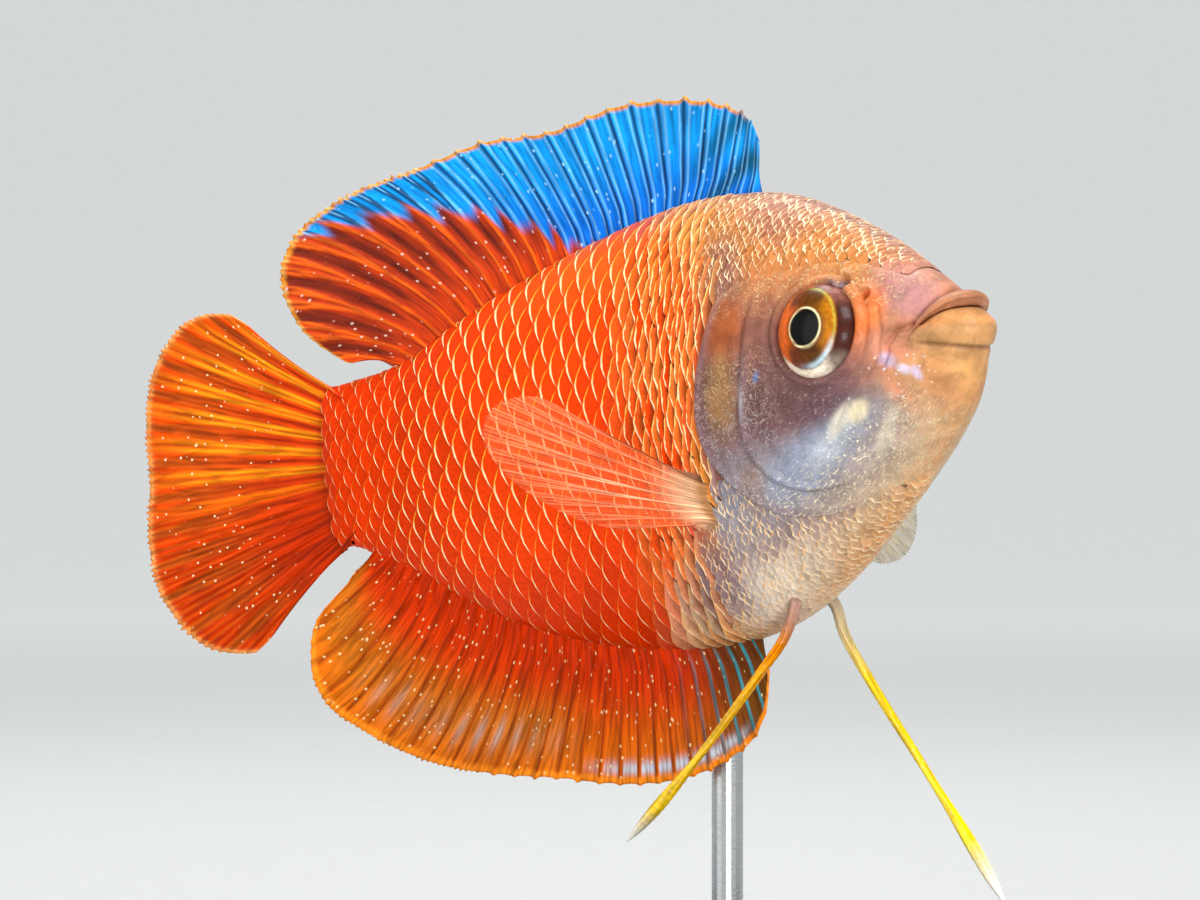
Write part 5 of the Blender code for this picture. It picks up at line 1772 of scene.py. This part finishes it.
@dataclass
class TailFin(RayedFin):
    """The rounded tail fin, all soft rays."""

    piece: str = "tail_fin_web"
    node: str = "caudal_fin"
    slot: str = "tail_web"
    spines: int = 0
    rays: int = 13
    steps: int = 26
    root_half: float = 0.8
    fringe: float = 0.38
    teeth: float = 6.0
    corner: float = 2.6
    round_rays: float = 1.4
    wave: float = 0.35
    root_t: float = 55.3
    root_z: tuple[float, float] = (5.0, -5.2)
    outline: Table = (
        (0.0, 64.4, 11.9), (0.08, 66.6, 11.3), (0.2, 69.3, 9.0), (0.35, 70.6, 5.2),
        (0.5, 70.6, 0.6), (0.65, 70.9, -3.8), (0.8, 70.0, -7.8), (0.92, 67.3, -11.0),
        (1.0, 64.6, -12.4),
    )

    def root(self, k: Array) -> Array:
        """Even from the upper to the lower corner of the stalk's end."""
        z = self.root_z[0] + (self.root_z[1] - self.root_z[0]) * k / self.last
        return np.stack([self.root_t + 0 * z, 0 * z, z], axis=-1)

    def tip(self, k: Array) -> Array:
        """Point of the margin."""
        return margin_point(self.outline, k / self.last)

    def bow(self, k: Array) -> Array:
        """Outer rays bend towards the middle."""
        lean = 1.0 - 2.0 * k / self.last
        return np.stack([0 * lean, 0 * lean, -0.5 * lean ** 3], axis=-1)

    def paint(self, k: Array, s: Array, ray: Array, point: Array) -> Layers:
        """Orange rays with yellow streaks in the upper half over red-brown web.

        Args:
            k: Ray number of each point.
            s: Share of the ray's length.
            ray: The ridge, 0 to 1.
            point: Fish-frame points.

        Returns:
            Tint, SpeckTint, Speck and Solid of each point.
        """
        crest, off = ease(ray, 0.04, 0.42), off_ray(k)
        fine = 0.5 + 0.5 * np.cos(k * math.tau * 5.0 + 1.2 * np.sin(s * 7.0))
        colour = layered(
            all_over("#DE4002", point),
            ("#B62800", ease(k, 5.0, 10.0)),
            ("#FFAC18", 0.7 * bell(off, 0.12, 0.1) * (1 - ease(k, 5.5, 8.0))
             * ease(s, 0.08, 0.25) * (1 - 0.6 * ease(s, 0.7, 0.95))),
            ("#9A1C00", 0.85 * bell(off, 0.5, 0.13) * ease(s, 0.03, 0.12)
             * (1 - ease(s, 0.45, 0.85))),
            ("#7E3A0A", 0.75 * ease(s, 0.35, 0.9) * (1 - crest)),
            ("#E85C0C", 0.4 * ease(s, 0.35, 0.75) * fine),
            ("#D83404", 1.0 - ease(s, 0.07, 0.13)),
            ("#F4A458", 0.7 * ease(s, 0.965, 0.99)))
        pale = all_over("#FFE8B4", point)
        return {"Tint": colour, "SpeckTint": pale, "Speck": 0.8 * ease(s, 0.3, 0.6),
                "Solid": np.ones_like(s)}


@dataclass
class PectoralFin(RayedFin):
    """A clear side fin of a few fine rays, swung out from the flank."""

    piece: str = "pectoral_fin_web"
    node: str = "pectoral_fin_right"
    slot: str = "pectoral_web"
    spines: int = 0
    rays: int = 9
    steps: int = 40
    rows: int = 72
    film: str = "#FF6C38"
    rod: str = "#FFD0A4"
    forks: tuple[float, float] = (0.02, 0.3)
    web_half: float = 0.03
    ray_half: float = 0.055
    root_half: float = 0.3
    fringe: float = 0.3
    notch: float = 0.1
    wave: float = 0.0
    sunk: float = 0.9
    side: Side = Side.RIGHT
    swing: float = 23.0
    drop: float = 0.0
    root_ends: Table = ((20.1, -4.9), (20.3, -7.6))
    lengths: tuple[float, ...] = (12.4, 14.2, 15.3, 15.6, 15.0, 13.6, 11.6, 9.2, 6.8)
    spread: tuple[float, float] = (31.0, 4.0)
    camber: float = 0.5
    dive: float = 1.7

    def back(self) -> Array:
        """The fin's middle line, out and back from the flank."""
        out = math.radians(self.swing)
        return np.array([math.cos(out), self.side.value * math.sin(out), 0.0])

    def across(self) -> Array:
        """The way that the sheet faces."""
        return np.cross(self.back(), [0.0, 0.0, 1.0])

    def root(self, k: Array) -> Array:
        """From the upper to the lower end of the short fleshy root."""
        ends = []
        for t, z in self.root_ends:
            ring, down = self.form.find(t, z)
            down = down if self.side is Side.RIGHT else 360.0 - down
            clear = 0.3 + 0.45 * math.cos(math.radians(self.swing))
            ends.append(self.form.skin(ring, down) + self.form.outward(ring, down) * clear)
        return ends[0] + (ends[1] - ends[0]) * (k / self.last)[:, None]

    def tip(self, k: Array) -> Array:
        """Root plus the ray's length along its own angle."""
        lean = self.spread[0] + (self.spread[1] - self.spread[0]) * k / self.last - self.drop
        angle = np.radians(lean)[:, None]
        reach = np.cos(angle) * self.back() + np.sin(angle) * np.array([0.0, 0.0, 1.0])
        lengths = smooth(np.arange(len(self.lengths)), self.lengths, k)
        return self.root(k) + reach * lengths[:, None]

    def bow(self, k: Array) -> Array:
        """The sheet is hollow towards the flank."""
        across = self.across()
        return np.outer(np.full(len(k), self.camber), across * np.sign(across[1]) * self.side.value)

    def paint(self, k: Array, s: Array, ray: Array, point: Array) -> Layers:
        """Salmon film, cream rays that branch with painted glints in the middle, and a dark leading
        edge near the root.

        Args:
            k: Ray number of each point.
            s: Share of the ray's length.
            ray: The ridge, 0 to 1.
            point: Fish-frame points.

        Returns:
            Tint, SpeckTint, Speck and Solid of each point.
        """
        crest = ease(ray, 0.4, 0.9)
        # Cream of the rays, strongest towards the fin's middle, where it is painted glints
        middle = 0.22 + 0.75 * bell(k, 4.5, 1.3) * bell(s, 0.35, 0.22)
        lead = (1.0 - ease(k, -0.1, 0.12)) * (1.0 - ease(s, 0.5, 1.0))
        colour = layered(
            all_over(self.film, point),
            (self.rod, np.clip(crest * middle, 0, 1)),
            ("#F4D4A8", 0.75 * (1.0 - ease(s, 0.1, 0.3))),
            ("#C8905C", 1.0 - ease(s, 0.05, 0.09)),
            ("#5A2C14", 0.85 * lead))
        solid = 0.3 + 0.5 * crest * (1 - 0.4 * s) + 0.5 * (1.0 - ease(s, 0.0, 0.25)) + lead
        solid = np.clip(solid, 0.0, 1.0)
        return {"Tint": colour, "SpeckTint": all_over("#FFF4E0", point), "Speck": 0.15 * crest,
                "Solid": solid}


@dataclass
class Feeler:
    """A pelvic fin drawn out into one long thread: a tapered tube along a smooth line."""

    form: BodyForm
    side: Side
    run: Table
    shades: Stops
    root_at: tuple[float, float] = (16.9, 1.5)
    root_radius: float = 0.44
    middle_radius: float = 0.28
    end_radius: float = 0.17
    sides: int = 20
    steps: int = 260
    gap: float = 0.35
    sunk: float = 1.4

    def build(self, finish: Material) -> Piece:
        """Carries an oval profile along the line, with a groove down its outer face.

        Args:
            finish: The thread's material.

        Returns:
            The thread.
        """
        start, normal = self.form.belly_point(self.root_at[0], self.root_at[1] * self.side.value)
        path = np.array([start - normal * self.sunk, start + normal * self.gap, *self.run])
        along = np.concatenate([[0.0], np.cumsum(np.linalg.norm(np.diff(path, axis=0), axis=1))])
        at = np.linspace(0.0, along[-1], self.steps)
        line = np.stack([smooth(along, path[:, i], at) for i in range(3)], axis=-1)
        heading = unit(np.gradient(line, axis=0))
        across = unit(np.cross(heading, [0.0, 1.0, 0.0]))
        third = np.cross(heading, across)
        share = at / along[-1]
        radius = smooth((0.0, 0.18, 0.6, 0.97, 1.0), (self.root_radius, 0.37, self.middle_radius,
                                                      self.end_radius, 0.02), share)
        radius = radius * (1.0 + 0.03 * np.sin(at * math.tau / 0.5))
        turn = np.arange(self.sides) * math.tau / self.sides
        wide = 1.0 - 0.12 * bell(np.cos(turn + math.pi / 2), 1.0, 0.3)
        offset = (across[:, None] * np.cos(turn)[None, :, None] * 0.85
                  + third[:, None] * np.sin(turn)[None, :, None]) * wide[None, :, None]
        points = line[:, None] + offset * radius[:, None, None]
        faces = capped_tube(self.steps, self.sides)
        points = np.concatenate([points.reshape(-1, 3), line[:1], line[-1:]])
        spread = np.concatenate([np.repeat(share, self.sides), [0.0, 1.0]])
        around = np.concatenate([np.tile(turn, self.steps), [0.0, 0.0]])
        lit = 0.15 * ease(np.sin(around), 0.2, 0.9) * ease(spread, 0.2, 0.5)
        tint = layered(graded(self.shades, spread), ("#FFE48C", lit))
        flat = np.stack([around / math.tau, spread], axis=-1)
        run = np.stack([around * 0.4, spread * along[-1]], axis=-1) / 100.0
        name = "pelvic_thread_" + self.side.name.lower()
        return add_piece(name, self.form.place(points), faces, finish,
                         {"Ray": np.ones(len(points)), "Speck": np.full(len(points), 0.15),
                          "Solid": np.ones(len(points))},
                         {"Tint": tint, "SpeckTint": all_over("#FFFFFF", tint)},
                         {"OFBake": flat, "Run": run}, ("pelvic_fin_" + self.side.name.lower(),))


@dataclass
class Studio:
    """A pale round dish as floor and backdrop, soft lamps, and the camera of the photograph.

    The dish is wide enough that a camera 0.7 m off on any side still stands inside it. Its paper
    glows faintly away from the middle, as a backdrop lit from behind does, so it is as pale all
    round.
    """

    form: BodyForm
    view_azimuth: float = 42.0
    aim_t: float = 24.0
    shift_right: float = -7.2
    shift_up: float = -2.8
    distance: float = 300.0
    lens: float = 144.0
    sensor: float = 36.0
    floor_flat: float = 800.0
    floor_bend: float = 500.0
    floor_wall: float = 500.0
    floor_sides: int = 96
    floor_rows: int = 25
    paper: tuple[str, str] = ("#BEC0BF", "#C4C6C4")
    glow: float = 0.42
    glow_reach: tuple[float, float] = (250.0, 800.0)
    surround: str = "#E8ECF0"
    surround_strength: float = 0.26
    # Lamps that face the fish: along the camera's right, towards the camera, and up; then the
    # side's length in millimetres, and watts
    lamps: tuple[tuple[str, tuple[float, float, float], float, float], ...] = (
        ("key_lamp", (140.0, 260.0, 330.0), 170.0, 1.46),
        ("fill_lamp", (-320.0, 240.0, 140.0), 300.0, 0.6),
        ("low_lamp", (80.0, 260.0, 34.0), 60.0, 0.25),
        ("top_lamp", (-40.0, -120.0, 380.0), 200.0, 0.9),
    )

    def axes(self) -> tuple[Array, Array]:
        """The camera's right and its way back from the fish, both level."""
        turn = math.radians(self.view_azimuth)
        return (np.array([math.cos(turn), math.sin(turn), 0.0]),
                np.array([math.sin(turn), -math.cos(turn), 0.0]))

    def camera(self) -> None:
        """Level camera, as far off as the photograph's perspective asks."""
        right, back = self.axes()
        aim = self.form.place(np.array([self.aim_t, 0.0, 0.0]))
        where = aim + right * self.shift_right + back * self.distance
        where[2] += self.shift_up
        data = bpy.data.cameras.new("camera")
        data.lens, data.sensor_width = self.lens, self.sensor
        data.clip_start, data.clip_end = 0.01, 20.0
        made = bpy.data.objects.new("camera", data)
        made.location = where * MM
        made.rotation_euler = (math.pi / 2, 0.0, math.radians(self.view_azimuth))
        bpy.context.collection.objects.link(made)
        bpy.context.scene.camera = made

    def floor(self) -> None:
        """A flat disc that curves up at its rim: height R - sqrt(R^2 - d^2) past the flat."""
        turn = np.arange(self.floor_sides) * math.tau / self.floor_sides
        bend = np.linspace(0.0, math.pi / 2, self.floor_rows)
        radius = np.concatenate([[0.5, self.floor_flat * 0.5],
                                 self.floor_flat + self.floor_bend * np.sin(bend)])
        height = np.concatenate([[0.0, 0.0], self.floor_bend * (1 - np.cos(bend))])
        radius = np.append(radius, radius[-1])
        height = np.append(height, height[-1] + self.floor_wall)
        points = np.stack([radius[:, None] * np.cos(turn), radius[:, None] * np.sin(turn),
                           height[:, None] + 0 * turn], axis=-1)
        mesh = bpy.data.meshes.new("floor")
        inner = np.arange(self.floor_sides)
        mesh.from_pydata((points.reshape(-1, 3) * MM).tolist(), [],
                         grid_faces(len(radius), self.floor_sides, wrap=True)[:, ::-1].tolist()
                         + [inner.tolist()])
        mesh.shade_smooth()
        made = bpy.data.objects.new("floor", mesh)
        paper, tree, shader = new_material("pale_paper_backdrop")
        spot = object_spot(tree)
        grain = noise(tree, spot, per_metre(3.0), 2.0)
        colour = mixed(tree, grain, *(rgba(code) for code in self.paper))
        tree.links.new(colour, shader.inputs["Base Color"])
        far = add_node(tree, "ShaderNodeVectorMath", {0: spot}, operation="LENGTH").outputs["Value"]
        glow = ranged(tree, far, *(reach * MM for reach in self.glow_reach), 0.0, self.glow)
        tree.links.new(glow, shader.inputs["Emission Strength"])
        set_sockets(shader, {"Emission Color": rgba("#E8EAEA"), "Roughness": 0.85})
        mesh.materials.append(paper)
        bpy.context.collection.objects.link(made)

    def lamp(self, name: str, at: tuple[float, float, float], aim: Array, size: float,
             power: float) -> None:
        """A square soft lamp.

        Args:
            name: Its name.
            at: Where it hangs: along the camera's right, towards the camera, and up.
            aim: World point that it faces, in millimetres.
            size: Length of its side in millimetres.
            power: Watts.
        """
        right, away = self.axes()
        place = (right * at[0] + away * at[1] + np.array([0.0, 0.0, at[2]])) * MM
        data = bpy.data.lights.new(name, "AREA")
        data.size, data.energy = size * MM, power
        made = bpy.data.objects.new(name, data)
        made.location = place
        toward = aim * MM - place
        level = math.hypot(toward[0], toward[1])
        made.rotation_euler = (math.atan2(level, -toward[2]), 0.0, math.atan2(-toward[0], toward[1]))
        bpy.context.collection.objects.link(made)

    def build(self) -> None:
        """Camera, floor, lamps and an even pale surround."""
        self.camera()
        self.floor()
        fish = np.array([0.0, 0.0, self.form.axis_height])
        for name, at, size, power in self.lamps:
            self.lamp(name, at, fish, size, power)
        self.lamp("backdrop_lamp", (0.0, -260.0, 420.0), -700.0 * self.axes()[1], 300.0, 1.1)
        world = bpy.context.scene.world or bpy.data.worlds.new("surround")
        bpy.context.scene.world = world
        world.use_nodes = True
        surround = world.node_tree.nodes["Background"]
        set_sockets(surround, {"Color": rgba(self.surround), "Strength": self.surround_strength})
        # The plain transform keeps the flame and azure as strong as they are on the animal
        bpy.context.scene.view_settings.view_transform = "Standard"


def dress_stand() -> None:
    """Gives the stand's solids their lacquer and their steel."""
    finishes = {"stand_base": SatinLacquer().build(), "stand_rod": BrushedSteel().build()}
    for name, finish in finishes.items():
        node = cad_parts[name]
        node.data.materials.clear()
        node.data.materials.append(finish)
        log.info("%s dressed", name)


NEAR_RUN = ((17.7, -1.9, -15.0), (19.4, -2.6, -17.0), (23.0, -3.4, -20.4), (27.0, -3.9, -23.6),
            (31.2, -4.2, -26.6))
FAR_RUN = ((16.4, 1.8, -15.0), (15.2, 2.4, -18.0), (12.6, 3.6, -23.4), (10.2, 4.7, -28.4),
           (8.4, 5.6, -32.6))
NEAR_SHADES = ((0.0, "#9C8488"), (0.12, "#B08068"), (0.2, "#E07C04"), (0.36, "#EAA400"),
               (0.6, "#EEB600"), (0.85, "#F6C800"), (0.95, "#F6F0E0"), (1.0, "#FAFAF6"))
FAR_SHADES = ((0.0, "#A89A92"), (0.15, "#C8B080"), (0.3, "#E2B800"), (0.5, "#EAC000"),
              (0.8, "#F6D400"), (0.92, "#F4ECD8"), (1.0, "#FAFAF6"))


def main() -> None:
    """Builds the fish piece by piece, then the stand's finish and the studio."""
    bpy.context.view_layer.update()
    form = BodyForm()
    markings = Markings(form)
    Skin(form, markings).build(WetSkin().build())
    flat, scale_finish = FlankMap(form), ScaleFinish().build()
    eye_finish = EyeGloss().build()
    for side in Side:
        ScaleCoat(form, flat, markings, side).build(scale_finish)
        Eye(form, side).build(eye_finish)
    DorsalFin(form).build(FinFinish("azure_spiny_fin_web", speck_size=0.14, sheen="#C8D8FF").build())
    AnalFin(form).build(FinFinish("flame_spiny_fin_web", speck_mm=0.46, speck_size=0.15).build())
    TailFin(form).build(FinFinish("flame_soft_fin_web", speck_mm=0.42, speck_size=0.13).build())
    clear = FinFinish("clear_salmon_fin_film", clear=True).build()
    PectoralFin(form, piece="pectoral_fin_web_right").build(clear)
    PectoralFin(form, piece="pectoral_fin_web_left", node="pectoral_fin_left", side=Side.LEFT,
                swing=68.0, drop=26.0, film="#B49A68", rod="#E8DCC0").build(clear)
    thread = FinFinish("segmented_pelvic_thread", speck_mm=0.3, segment_mm=0.5).build()
    Feeler(form, Side.RIGHT, NEAR_RUN, NEAR_SHADES).build(thread)
    Feeler(form, Side.LEFT, FAR_RUN, FAR_SHADES).build(thread)
    dress_stand()
    Studio(form).build()


if __name__ == "__main__":
    logging.basicConfig(level=logging.INFO)
    main()
